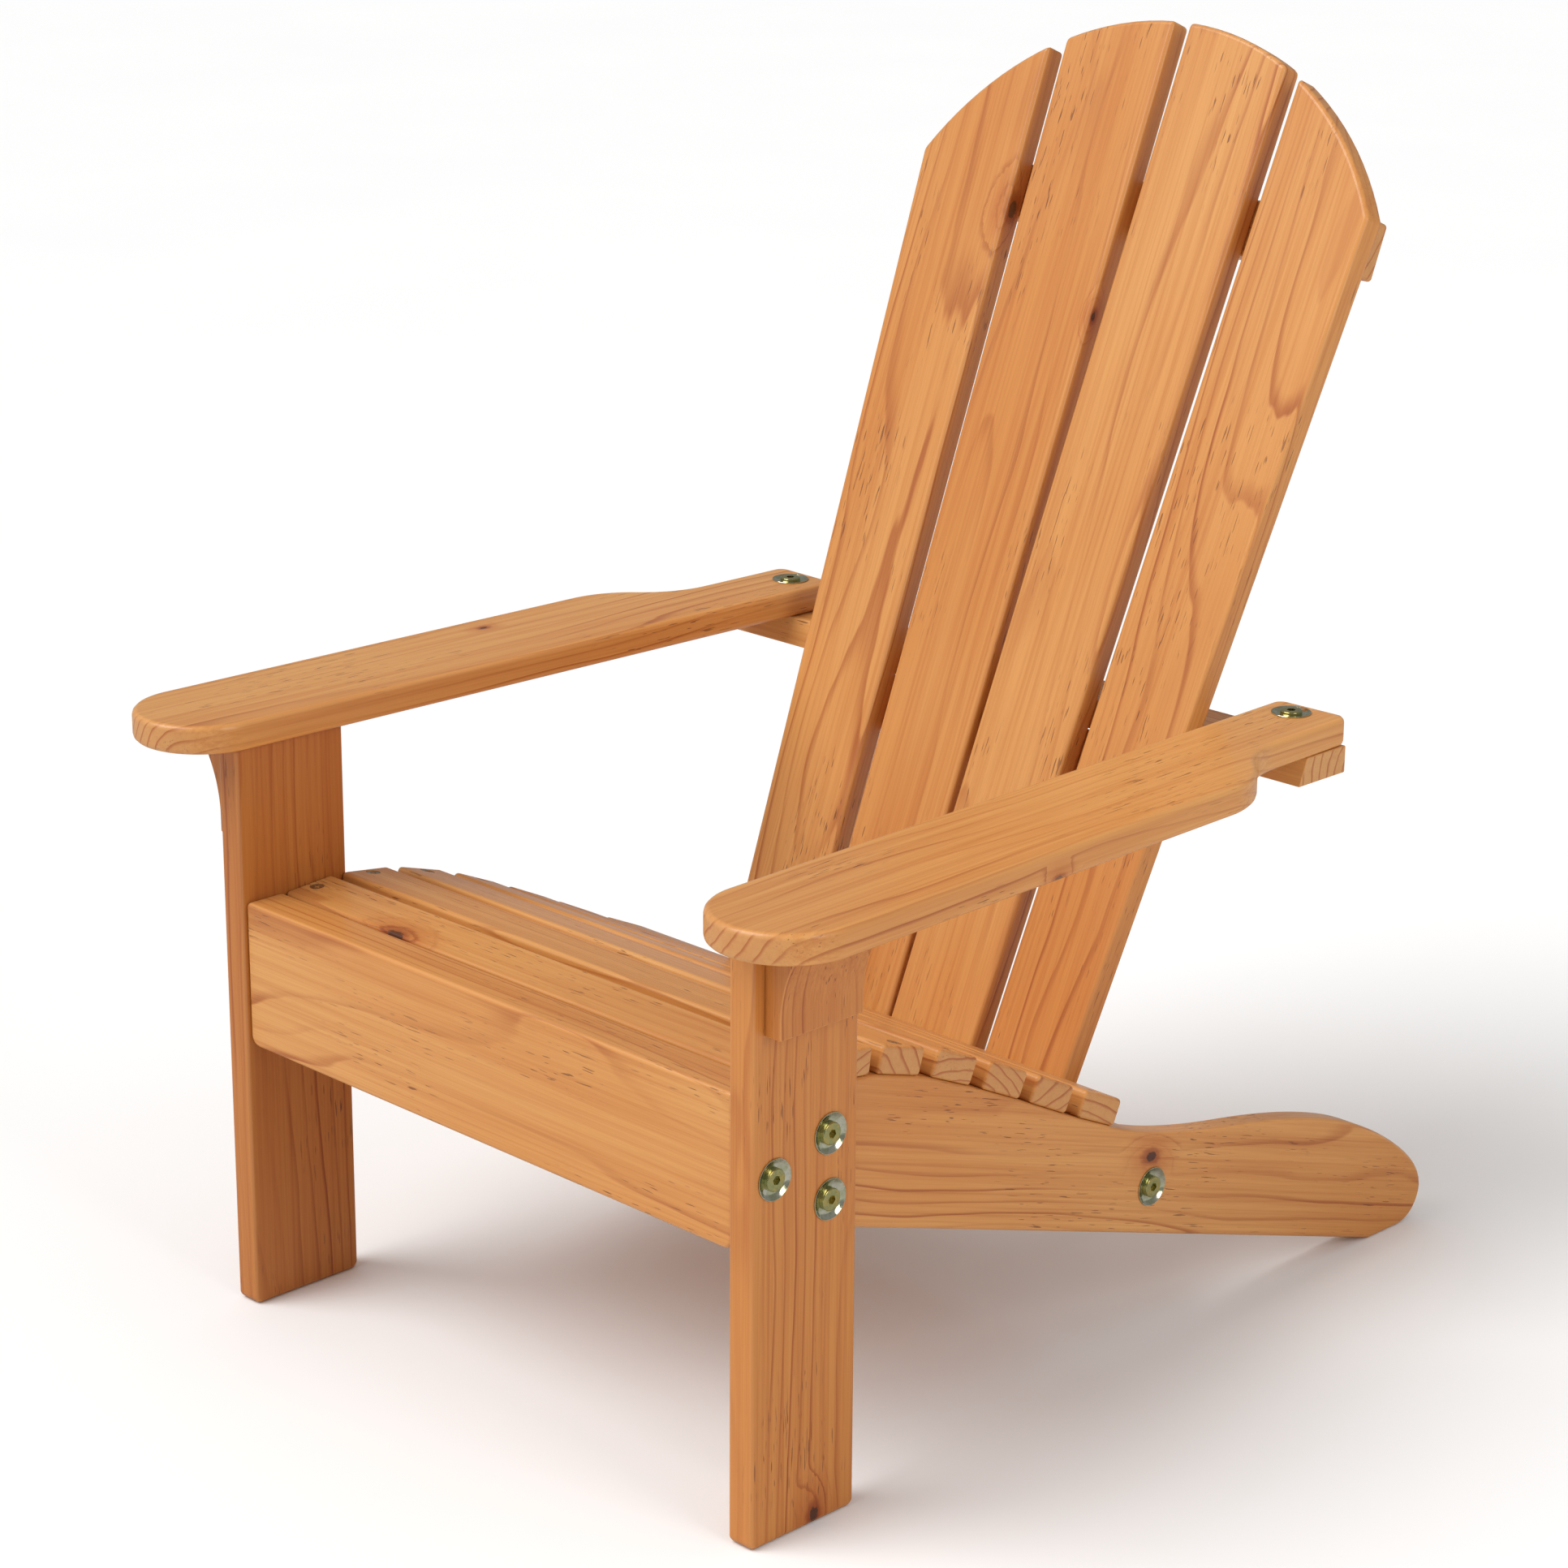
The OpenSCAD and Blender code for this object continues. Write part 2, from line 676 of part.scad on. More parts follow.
module front_apron() {
    r = apron_corner_r;
    w = seat_w;
    color(pine)
        in_place()
            difference() {
                translate([0, apron_rear, seat_h - apron_h])
                    rotate([90, 0, 0])
                        linear_extrude(apron_t)
                            union() {
                                translate([-w / 2, r])
                                    square([w, apron_h - r]);
                                translate([r - w / 2, 0])
                                    square([w - 2 * r, r + eps]);
                                for (side = [-1, 1])
                                    translate([side * (w / 2 - r), r])
                                        circle(r);
                            }
                both_sides() {
                    at_apron_bolt()
                        bolt_hole(end_bolt_len + bolt_room);
                    translate([half_w - barrel_nut_inset, apron_bolt[0], apron_bolt[1]])
                        barrel_nut_hole(apron_t / 2);
                }
            }
}

module seat_slat(i) {
    slat_len = seat_w - 2 * end_clear;
    color(pine)
        in_place()
            difference() {
                at_slat(i)
                    translate([-slat_len / 2, 0, 0])
                        cube([slat_len, seat_slat_w, seat_slat_t]);
                at_seat_screws(i)
                    screw_hole(seat_screw_len);
            }
}

// Outline of the right-hand inner or outer back slat, in the back's frame.
module back_slat_outline(outer) {
    near = outer ? outer_near : inner_near;
    far = outer ? outer_far : inner_far;
    // The arch crosses a slat's edge where the edge, nearly upright there, meets the circle.
    near_top = edge_x(near, arch_point_s(near[1]));
    far_top = edge_x(far, arch_point_s(min(far[1], arch_r - 1)));
    near_a = acos(near_top / arch_r);
    far_a = outer ? corner_angle : acos(far_top / arch_r);
    corner = outer ? arc([corner_x, corner_s], arch_corner_r, -side_angle, corner_angle) : [];
    polygon(concat(
        [[near[0], foot_s], [far[0], foot_s]],
        corner,
        arc([0, arch_s], arch_r, far_a, near_a)
    ));
}

module back_slat(side, outer) {
    color(pine)
        in_place()
            difference() {
                at_back()
                    translate([0, 0, slat_rear])
                        linear_extrude(back_slat_t)
                            on_side(side)
                                back_slat_outline(outer);
                at_back_screws(upper_brace_s, brace_rear)
                    screw_hole(brace_t + back_slat_t - tip_cover);
                at_back_screws(middle_brace_s, brace_rear)
                    screw_hole(brace_t + back_slat_t - tip_cover);
                at_back_screws(crossbar_s, crossbar_rear)
                    screw_hole(crossbar_t + back_slat_t - tip_cover);
                at_bar_screws()
                    screw_hole(bar_screw_len);
            }
}

// A brace across the rear of the back slats, with its middle at height s.
module back_brace(s) {
    reach = edge_x(outer_far, s) - brace_inset;
    color(pine)
        in_place()
            difference() {
                at_back()
                    translate([-reach, s - brace_h / 2, brace_rear])
                        cube([2 * reach, brace_h, brace_t]);
                at_back_screws(s, brace_rear)
                    screw_hole(brace_t + back_slat_t - tip_cover);
            }
}

module lower_crossbar() {
    color(pine)
        in_place()
            difference() {
                at_back()
                    translate([-stringer_x, crossbar_s - crossbar_h / 2, crossbar_rear])
                        cube([2 * stringer_x, crossbar_h, crossbar_t]);
                at_back_screws(crossbar_s, crossbar_rear)
                    screw_hole(crossbar_t + back_slat_t - tip_cover);
                both_sides() {
                    at_crossbar_bolt()
                        bolt_hole(end_bolt_len + bolt_room);
                    at_crossbar_nut()
                        barrel_nut_hole(crossbar_t / 2);
                }
            }
}

// The crossbar's nut lies square to the crossbar's face, so it leans with the back.
module at_crossbar_nut() {
    translate([stringer_x - barrel_nut_inset, crossbar_y, crossbar_z])
        rotate([-recline, 0, 0])
            children();
}

module arm_support_bar() {
    color(pine)
        in_place()
            difference() {
                side_board(-arm_rear_x, 2 * arm_rear_x)
                    polygon([
                        [back_plane_y(back_slat_t, leg_h - bar_t), leg_h - bar_t],
                        [bar_rear, leg_h - bar_t],
                        [bar_rear, leg_h],
                        [back_plane_y(back_slat_t, leg_h), leg_h]
                    ]);
                at_bar_screws()
                    screw_hole(bar_screw_len);
                both_sides() {
                    at_arm_bolt()
                        bolt_hole(arm_t + bar_t + eps);
                    at_arm_insert()
                        insert_hole();
                }
            }
}

module at_arm_insert() {
    translate([arm_bolt_x, arm_bolt_y, leg_h - bar_t])
        mirror([0, 0, 1])
            children();
}

module arm_outline() {
    r = arm_corner_r;
    polygon(concat(
        arc([arm_in + arm_w / 2, arm_head_y], arm_w / 2, 180, 360),
        arc([arm_out - arm_bend_r, tail_start - bend_len], arm_bend_r, 0, bend_a),
        arc([tail_out + arm_bend_r, tail_start], arm_bend_r, 180 + bend_a, 180),
        arc([tail_out - r, arm_end - r], r, 0, 90),
        arc([arm_in + r, arm_end - r], r, 90, 180)
    ));
}

module arm() {
    difference() {
        at_arm()
            linear_extrude(arm_t)
                arm_outline();
        at_arm_bolt() {
            bolt_hole(arm_t + eps);
            washer_seat();
        }
        at_arm_dowels()
            dowel(arm_dowel_d, arm_dowel_depth, screw_clear);
        at_bracket_screws()
            screw_hole(bracket_screw_len);
    }
}

module arm_bracket() {
    top_t = bracket_foot_t + cove_r - sqrt(cove_r * cove_r - pow(bracket_rise - bracket_foot_h, 2));
    difference() {
        translate([leg_x, (leg_w + bracket_w) / 2, bracket_z])
            rotate([90, 0, 0])
                linear_extrude(bracket_w)
                    difference() {
                        square([top_t, bracket_rise]);
                        translate([bracket_foot_t + cove_r, bracket_foot_h])
                            circle(cove_r, $fn = 96);
                        translate([bracket_foot_t, -eps])
                            square([top_t, bracket_foot_h + eps]);
                    }
        at_bracket_dowels()
            dowel(bracket_dowel_d, bracket_dowel_depth, screw_clear);
        at_bracket_screws() {
            screw_hole(bracket_screw_len);
            cylinder(d = screw_head_d + 2 * screw_clear, h = bracket_rise);
        }
    }
}

// ---- Pieces, each in its own node ----

module front_leg(side) {
    color(pine)
        in_place()
            on_side(side)
                leg();
}

module side_stringer(side) {
    color(pine)
        in_place()
            on_side(side)
                stringer();
}

module side_arm(side) {
    color(oak)
        in_place()
            on_side(side)
                arm();
}

module side_bracket(side) {
    color(oak)
        in_place()
            on_side(side)
                arm_bracket();
}

module dished_washers() {
    color(zinc)
        in_place()
            both_sides() {
                at_apron_bolt()
                    washer();
                at_stringer_bolts()
                    washer();
                at_crossbar_bolt()
                    washer();
                at_arm_bolt()
                    washer();
            }
}

module apron_bolts() {
    color(yellow_zinc)
        in_place()
            both_sides()
                at_apron_bolt()
                    bolt(end_bolt_len);
}

module stringer_bolts() {
    color(yellow_zinc)
        in_place()
            both_sides()
                at_stringer_bolts()
                    bolt(leg_t + stringer_t);
}

module crossbar_bolts() {
    color(yellow_zinc)
        in_place()
            both_sides()
                at_crossbar_bolt()
                    bolt(end_bolt_len + stringer_t - leg_t);
}

module arm_bolts() {
    color(yellow_zinc)
        in_place()
            both_sides()
                at_arm_bolt()
                    bolt(arm_t + bar_t);
}

module apron_barrel_nuts() {
    color(zinc)
        in_place()
            both_sides()
                translate([half_w - barrel_nut_inset, apron_bolt[0], apron_bolt[1]])
                    rotate([0, 90, 0])
                        barrel_nut();
}

module crossbar_barrel_nuts() {
    color(zinc)
        in_place()
            both_sides()
                at_crossbar_nut()
                    rotate([0, 90, 0])
                        barrel_nut();
}

module stringer_insert_nuts() {
    color(yellow_zinc)
        in_place()
            both_sides()
                at_stringer_bolts()
                    translate([0, 0, -leg_t - stringer_t])
                        mirror([0, 0, 1])
                            insert_nut();
}

module arm_insert_nuts() {
    color(yellow_zinc)
        in_place()
            both_sides()
                at_arm_insert()
                    insert_nut();
}

module seat_screws() {
    color(zinc)
        in_place()
            for (i = [0 : slats - 1])
                at_seat_screws(i)
                    screw(seat_screw_len);
}

module back_screws(s, rear, thickness) {
    color(zinc)
        in_place()
            at_back_screws(s, rear)
                screw(thickness + back_slat_t - tip_cover);
}

module support_bar_screws() {
    color(zinc)
        in_place()
            at_bar_screws()
                screw(bar_screw_len);
}

module bracket_screws() {
    color(zinc)
        in_place()
            both_sides()
                at_bracket_screws()
                    screw(bracket_screw_len);
}

module arm_dowels() {
    color(oak)
        in_place()
            both_sides()
                at_arm_dowels()
                    dowel(arm_dowel_d, arm_dowel_depth, 0);
}

module bracket_dowels() {
    color(oak)
        in_place()
            both_sides()
                at_bracket_dowels()
                    dowel(bracket_dowel_d, bracket_dowel_depth, 0);
}

front_leg(-1);  // left_front_leg
front_leg(1);  // right_front_leg
side_stringer(-1);  // left_stringer
side_stringer(1);  // right_stringer
front_apron();
for (i = [1 : slats]) seat_slat(i - 1);
back_slat(-1, true);  // back_slat_1
back_slat(-1, false);  // back_slat_2
back_slat(1, false);  // back_slat_3
back_slat(1, true);  // back_slat_4
back_brace(upper_brace_s);  // upper_back_brace
back_brace(middle_brace_s);  // middle_back_brace
lower_crossbar();
arm_support_bar();
side_arm(-1);  // left_arm
side_arm(1);  // right_arm
side_bracket(-1);  // left_arm_bracket
side_bracket(1);  // right_arm_bracket
dished_washers();
apron_bolts();
stringer_bolts();
crossbar_bolts();
arm_bolts();
apron_barrel_nuts();
crossbar_barrel_nuts();
stringer_insert_nuts();
arm_insert_nuts();
seat_screws();
back_screws(upper_brace_s, brace_rear, brace_t);  // upper_brace_screws
back_screws(middle_brace_s, brace_rear, brace_t);  // middle_brace_screws
back_screws(crossbar_s, crossbar_rear, crossbar_t);  // crossbar_screws
support_bar_screws();
bracket_screws();
arm_dowels();
bracket_dowels();
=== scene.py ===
import math

import bmesh
import bpy
from mathutils import Matrix, Vector


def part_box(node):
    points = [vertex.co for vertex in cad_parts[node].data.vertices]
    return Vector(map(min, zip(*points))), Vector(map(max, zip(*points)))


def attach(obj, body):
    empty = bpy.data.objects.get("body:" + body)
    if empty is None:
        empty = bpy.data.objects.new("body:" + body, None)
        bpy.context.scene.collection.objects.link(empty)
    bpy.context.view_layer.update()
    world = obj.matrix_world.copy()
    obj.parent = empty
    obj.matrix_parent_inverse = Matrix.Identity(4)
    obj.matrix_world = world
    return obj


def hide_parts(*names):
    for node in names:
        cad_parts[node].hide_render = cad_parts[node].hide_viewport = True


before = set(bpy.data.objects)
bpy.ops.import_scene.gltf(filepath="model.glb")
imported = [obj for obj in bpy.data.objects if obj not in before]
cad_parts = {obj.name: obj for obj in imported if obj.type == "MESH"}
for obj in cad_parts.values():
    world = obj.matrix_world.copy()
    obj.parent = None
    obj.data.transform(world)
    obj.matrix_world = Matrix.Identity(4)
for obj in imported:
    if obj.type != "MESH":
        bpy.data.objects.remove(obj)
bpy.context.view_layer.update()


# ---------------------------------------------------------------------------
# The wood of every board
# Knotty softwood, planed and stained honey-orange, under two thin coats of satin lacquer.
# Its figure is cut out of a solid log, so that rings meet round each board's corners.

def add(tree, kind, wires=None, **settings):
    """Adds a node; a wire is another node's output or the socket's own value."""
    made = tree.nodes.new(kind)
    for name, value in settings.items():
        setattr(made, name, value)
    for socket, value in (wires or {}).items():
        if isinstance(value, bpy.types.NodeSocket):
            tree.links.new(value, made.inputs[socket])
        else:
            made.inputs[socket].default_value = value
    return made


def sum_of(tree, operation, *values):
    return add(tree, "ShaderNodeMath", dict(enumerate(values)), operation=operation).outputs[0]


def ramp(tree, value, low, high, out_low=0.0, out_high=1.0):
    """Turns a value's stretch from low to high smoothly into the other two numbers."""
    wires = {"Value": value, "From Min": low, "From Max": high, "To Min": out_low, "To Max": out_high}
    return add(tree, "ShaderNodeMapRange", wires, interpolation_type="SMOOTHSTEP").outputs["Result"]


def blend_colour(tree, share, first, second, blend_type="MIX"):
    made = add(tree, "ShaderNodeMix", {0: share, 6: first, 7: second}, data_type="RGBA", blend_type=blend_type)
    return made.outputs[2]


def stretched_noise(tree, place, scale, detail=2.0):
    """Noise that is scaled differently across, along and through the board."""
    mapped = add(tree, "ShaderNodeMapping", {"Vector": place, "Scale": scale})
    wires = {"Vector": mapped.outputs[0], "Scale": 1.0, "Detail": detail}
    return add(tree, "ShaderNodeTexNoise", wires).outputs["Fac"]


def new_group(name, inputs, outputs):
    """A shader node group; inputs and outputs are (name, socket kind) pairs."""
    group = bpy.data.node_groups.new(name, "ShaderNodeTree")
    for label, kind in inputs:
        group.interface.new_socket(label, in_out="INPUT", socket_type="NodeSocket" + kind)
    for label, kind in outputs:
        group.interface.new_socket(label, in_out="OUTPUT", socket_type="NodeSocket" + kind)
    return group, group.nodes.new("NodeGroupInput").outputs, group.nodes.new("NodeGroupOutput")


def softwood_figure():
    """Growth rings, fibres, pitch flecks and one knot, from a place in the log that a board came from."""
    group, given, out = new_group(
        "softwood figure",
        [("Place", "Vector"), ("To Knot", "Vector"), ("End Grain", "Float"), ("Tone", "Float"),
         ("Eased Edge Highlight", "Float"), ("Early Wood", "Color"), ("Pale Wood", "Color"), ("Ring Width", "Float")],
        [("Color", "Color"), ("Roughness", "Float"), ("Height", "Float")],
    )
    place = given["Place"]
    end = given["End Grain"]

    # The knot: a small ragged dark core with a stained zone round it.
    knot_shape = add(group, "ShaderNodeVectorMath", {0: given["To Knot"], 1: (1.0, 0.6, 1.0)}, operation="MULTIPLY")
    knot_away = add(group, "ShaderNodeVectorMath", {0: knot_shape.outputs[0]}, operation="LENGTH").outputs["Value"]
    ragged = stretched_noise(group, place, (480.0, 260.0, 480.0), 4.0)
    knot_away = sum_of(group, "ADD", knot_away, sum_of(group, "MULTIPLY", ragged, 0.0036))
    knot = ramp(group, knot_away, 0.0046, 0.0054, 1.0, 0.0)
    knot_ring = ramp(group, knot_away, 0.0056, 0.0100, 1.0, 0.0)
    knot_shade = ramp(group, knot_away, 0.006, 0.024, 1.0, 0.0)

    # The rings: distance from the log's axis, which wanders and leans, counted in ring widths.
    flat_place = add(group, "ShaderNodeVectorMath", {0: place, 1: (1.0, 0.0, 1.0)}, operation="MULTIPLY")
    radius = add(group, "ShaderNodeVectorMath", {0: flat_place.outputs[0]}, operation="LENGTH").outputs["Value"]
    wander = sum_of(group, "MULTIPLY", stretched_noise(group, place, (8.0, 1.9, 8.0), 2.0), 0.060)
    wiggle = sum_of(group, "MULTIPLY", stretched_noise(group, place, (60.0, 9.0, 60.0), 2.0), 0.0045)
    bulge = sum_of(group, "MULTIPLY", knot_shade, 0.010)
    radius = sum_of(group, "ADD", sum_of(group, "ADD", radius, wander), sum_of(group, "ADD", wiggle, bulge))
    turn = sum_of(group, "DIVIDE", radius, given["Ring Width"])
    ring = sum_of(group, "FLOOR", turn)
    part = sum_of(group, "SUBTRACT", turn, ring)
    odd = add(group, "ShaderNodeTexWhiteNoise", {"W": ring}, noise_dimensions="1D").outputs["Value"]
    fall = ramp(group, part, 0.94, 1.0, 1.0, 0.0)
    dense = sum_of(group, "MULTIPLY", ramp(group, part, 0.70, 0.93), fall)
    fading = ramp(group, stretched_noise(group, place, (24.0, 3.4, 24.0)), 0.34, 0.66, 0.15, 1.0)
    strength = sum_of(group, "MULTIPLY", ramp(group, odd, 0.0, 1.0, 0.25, 1.0), fading)
    line = sum_of(group, "MULTIPLY", dense, strength)
    summer = sum_of(group, "MULTIPLY", sum_of(group, "POWER", part, 2.2), sum_of(group, "MULTIPLY", fall, strength))

    fibre = stretched_noise(group, place, (1700.0, 24.0, 1700.0), 3.0)
    thread = stretched_noise(group, place, (620.0, 5.0, 620.0), 2.0)
    streak = stretched_noise(group, place, (190.0, 2.6, 190.0), 2.0)
    cloud = stretched_noise(group, place, (12.0, 3.0, 12.0), 2.0)
    fleck_seed = stretched_noise(group, place, (1050.0, 72.0, 1050.0), 1.0)
    fleck_area = ramp(group, stretched_noise(group, place, (26.0, 8.0, 26.0)), 0.47, 0.60)
    fleck = sum_of(group, "MULTIPLY", ramp(group, fleck_seed, 0.655, 0.71), fleck_area)

    pale = sum_of(group, "ADD", given["Tone"], sum_of(group, "MULTIPLY", sum_of(group, "SUBTRACT", cloud, 0.5), 1.9))
    pale = add(group, "ShaderNodeClamp", {"Value": pale}).outputs[0]
    colour = blend_colour(group, pale, given["Early Wood"], given["Pale Wood"])
    for share, tint in ((ramp(group, streak, 0.36, 0.70, 0.0, 0.36), (0.80, 0.60, 0.42, 1)),
                        (ramp(group, thread, 0.42, 0.74, 0.0, 0.45), (0.80, 0.62, 0.46, 1)),
                        (sum_of(group, "MULTIPLY", summer, 0.34), (0.84, 0.64, 0.47, 1)),
                        (sum_of(group, "MULTIPLY", line, 0.85), (0.58, 0.32, 0.17, 1)),
                        (ramp(group, fibre, 0.36, 0.66, 0.0, 0.22), (0.76, 0.62, 0.50, 1)),
                        (sum_of(group, "MULTIPLY", knot_shade, 0.60), (0.76, 0.48, 0.28, 1)),
                        (sum_of(group, "MULTIPLY", knot_ring, 0.75), (0.52, 0.27, 0.14, 1)),
                        (ramp(group, given["Tone"], -0.5, 0.0, 0.9, 0.0), (0.78, 0.66, 0.54, 1))):
        colour = blend_colour(group, share, colour, tint, "MULTIPLY")
    colour = blend_colour(group, sum_of(group, "MULTIPLY", fleck, 0.75), colour, (0.13, 0.036, 0.012, 1))
    sawn = blend_colour(group, sum_of(group, "MULTIPLY", end, 0.55), colour, (0.51, 0.245, 0.088, 1))
    end_line = sum_of(group, "MULTIPLY", dense, sum_of(group, "MULTIPLY", end, 0.74))
    colour = blend_colour(group, end_line, sawn, (0.36, 0.082, 0.012, 1))
    colour = blend_colour(group, sum_of(group, "MULTIPLY", knot, 0.92), colour, (0.060, 0.018, 0.008, 1))
    # Painted highlight: the rounded edges are mixed toward a lighter orange, standing in for the lacquer's shine
    # along them.
    colour = blend_colour(group, sum_of(group, "MULTIPLY", given["Eased Edge Highlight"], 0.22), colour, (0.80, 0.40, 0.15, 1))
    group.links.new(colour, out.inputs["Color"])

    rough = ramp(group, fibre, 0.3, 0.7, 0.36, 0.46)
    rough = sum_of(group, "ADD", rough, sum_of(group, "MULTIPLY", end, 0.12))
    rough = sum_of(group, "SUBTRACT", rough, sum_of(group, "MULTIPLY", given["Eased Edge Highlight"], 0.08))
    group.links.new(rough, out.inputs["Roughness"])
    side_line = sum_of(group, "MULTIPLY", line, sum_of(group, "SUBTRACT", 1.0, end))
    height = sum_of(group, "SUBTRACT", sum_of(group, "MULTIPLY", fibre, 0.35), sum_of(group, "MULTIPLY", side_line, 0.3))
    height = sum_of(group, "SUBTRACT", height, sum_of(group, "MULTIPLY", fleck, 0.9))
    height = sum_of(group, "SUBTRACT", height, sum_of(group, "MULTIPLY", knot, 0.7))
    group.links.new(height, out.inputs["Height"])
    return group


FIGURE = softwood_figure()


def wood(name, early, pale, ring_width, coat):
    """A wood finish that reads the place in the board from the piece's own attributes."""
    material = bpy.data.materials.new(name)
    material.use_nodes = True
    tree = material.node_tree
    tree.nodes.clear()
    read = {}
    for label in ("place", "to_knot", "along", "eased", "tone"):
        read[label] = add(tree, "ShaderNodeAttribute", attribute_name=label).outputs
    facing = add(tree, "ShaderNodeTexCoord").outputs["Normal"]
    cut = add(tree, "ShaderNodeVectorMath", {0: facing, 1: read["along"]["Vector"]}, operation="DOT_PRODUCT")
    end = ramp(tree, sum_of(tree, "ABSOLUTE", cut.outputs["Value"]), 0.55, 0.92)
    figure = add(tree, "ShaderNodeGroup", {}, node_tree=FIGURE)
    for label, source in (("Place", read["place"]["Vector"]), ("To Knot", read["to_knot"]["Vector"]),
                          ("End Grain", end), ("Tone", read["tone"]["Fac"]), ("Eased Edge Highlight", read["eased"]["Fac"])):
        tree.links.new(source, figure.inputs[label])
    figure.inputs["Early Wood"].default_value = early
    figure.inputs["Pale Wood"].default_value = pale
    figure.inputs["Ring Width"].default_value = ring_width
    bump = add(tree, "ShaderNodeBump", {"Height": figure.outputs["Height"], "Strength": 0.35, "Distance": 0.0003})
    surface = add(tree, "ShaderNodeBsdfPrincipled",
                  {"Base Color": figure.outputs["Color"], "Roughness": figure.outputs["Roughness"],
                   "Normal": bump.outputs[0], "Specular IOR Level": 0.35,
                   "Coat Weight": coat, "Coat Roughness": 0.20})
    out = add(tree, "ShaderNodeOutputMaterial")
    tree.links.new(surface.outputs[0], out.inputs["Surface"])
    return material


LACQUERED = wood("lacquered softwood", (0.595, 0.236, 0.052, 1), (0.705, 0.366, 0.120, 1), 0.0062, 0.22)


# ---------------------------------------------------------------------------
# Front legs
# Two upright boards, rounded over on every edge; the seat and the side boards are bolted to them.
# Every board below is made the same way: its CAD outline is cut out, then its edges are eased.

def merged(node):
    """A CAD solid's mesh with its loose triangles joined, as a copy."""
    solid = bmesh.new()
    solid.from_mesh(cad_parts[node].data)
    bmesh.ops.remove_doubles(solid, verts=solid.verts, dist=1e-5)
    return solid


def broad_face(node):
    """The direction that most of a board's surface faces."""
    solid = merged(node)
    facing = {}
    for f in solid.faces:
        key = tuple(round(c, 2) for c in f.normal)
        area, total = facing.get(key, (0.0, Vector()))
        facing[key] = (area + f.calc_area(), total + f.normal * f.calc_area())
    solid.free()
    return max(facing.values(), key=lambda found: found[0])[1].normalized()


def outline(node, through):
    """The outer edge of the board's face on the side `through`, and the board's thickness."""
    solid = merged(node)
    heights = [v.co.dot(through) for v in solid.verts]
    top, thickness = max(heights), max(heights) - min(heights)
    cap = {f for f in solid.faces if all(top - v.co.dot(through) < 2e-5 for v in f.verts)}
    rim = [e for e in solid.edges if sum(f in cap for f in e.link_faces) == 1]
    beside = {}
    for e in rim:
        for v in e.verts:
            beside.setdefault(v, []).append(e.other_vert(v))
    loops = []
    left = set(beside)
    while left:
        start = left.pop()
        loop, here = [start], beside[start][0]
        while here is not start:
            left.discard(here)
            before = loop[-1]
            loop.append(here)
            here = beside[here][1] if beside[here][0] is before else beside[here][0]
        loops.append([v.co.copy() for v in loop])
    solid.free()
    points = max(loops, key=lambda loop: sum((a - b).length for a, b in zip(loop, loop[1:])))
    kept = []
    for i, p in enumerate(points):
        before, after = p - points[i - 1], points[(i + 1) % len(points)] - p
        if before.angle(after) > math.radians(0.4):
            kept.append(p)
    return kept, thickness


def lay_figure(mesh, boards):
    """Stores where each point lies in its own board: the log the board came from, its knot and its tone.

    Each board is (middle, across, along, through, place in the log, knot, tone).
    A knot is a place in the chair's own frame with a relative size; the place in the log is the board's own."""
    which = mesh.attributes.get("board")
    solid = bmesh.new()
    solid.from_mesh(mesh)
    solid.normal_update()
    bend = [max([e.calc_face_angle(0.0) for e in v.link_edges] + [0.0]) for v in solid.verts]
    solid.free()
    values = {"place": [], "to_knot": [], "along": [], "tone": [], "eased": []}
    for v in mesh.vertices:
        middle, across, along, through, log, knot, tone = boards[which.data[v.index].value if which else 0]
        here = v.co - middle
        local = Vector((here.dot(across), here.dot(along), here.dot(through)))
        values["place"].extend(local + Vector(log))
        off = (v.co - Vector(knot[:3])) / knot[3]
        values["to_knot"].extend((off.dot(across), off.dot(along), off.dot(through)))
        values["along"].extend(along)
        values["tone"].append(tone)
        # How far a point lies on a rounded edge; the wood paints a lighter highlight there and makes the finish
        # smoother.
        turned = 0.0 if bend[v.index] > HOLE_RIM_ANGLE else min(bend[v.index], math.radians(32))
        values["eased"].append(max(0.0, turned - math.radians(14)) / math.radians(18))
    for name, numbers in values.items():
        kind, field = ("FLOAT", "value") if name in ("tone", "eased") else ("FLOAT_VECTOR", "vector")
        mesh.attributes.new(name, kind, "POINT").data.foreach_set(field, numbers)


NO_KNOT = (0.0, 0.0, 9.0, 1.0)
HOLE_RIM_ANGLE = math.radians(36)
OUT = (1, 0, 0)
UP = (0, 0, 1)


def smooth_over(piece, largest=34):
    """Smooth shading over the eased edges, flat on the faces."""
    piece.data.shade_smooth()
    piece.data.set_sharp_from_angle(angle=math.radians(largest))
    even = piece.modifiers.new("even faces", "WEIGHTED_NORMAL")
    even.keep_sharp = True
    even.weight = 100


def islands(node):
    """The separate solids of a CAD node, each as its points and its faces' (normal, area) pairs."""
    solid = merged(node)
    left = set(solid.verts)
    found = []
    while left:
        todo = [left.pop()]
        members = set(todo)
        while todo:
            for e in todo.pop().link_edges:
                for v in e.verts:
                    if v not in members:
                        members.add(v)
                        left.discard(v)
                        todo.append(v)
        faces = {f for v in members for f in v.link_faces}
        found.append(([v.co.copy() for v in members], [(f.normal.copy(), f.calc_area()) for f in faces]))
    solid.free()
    return found


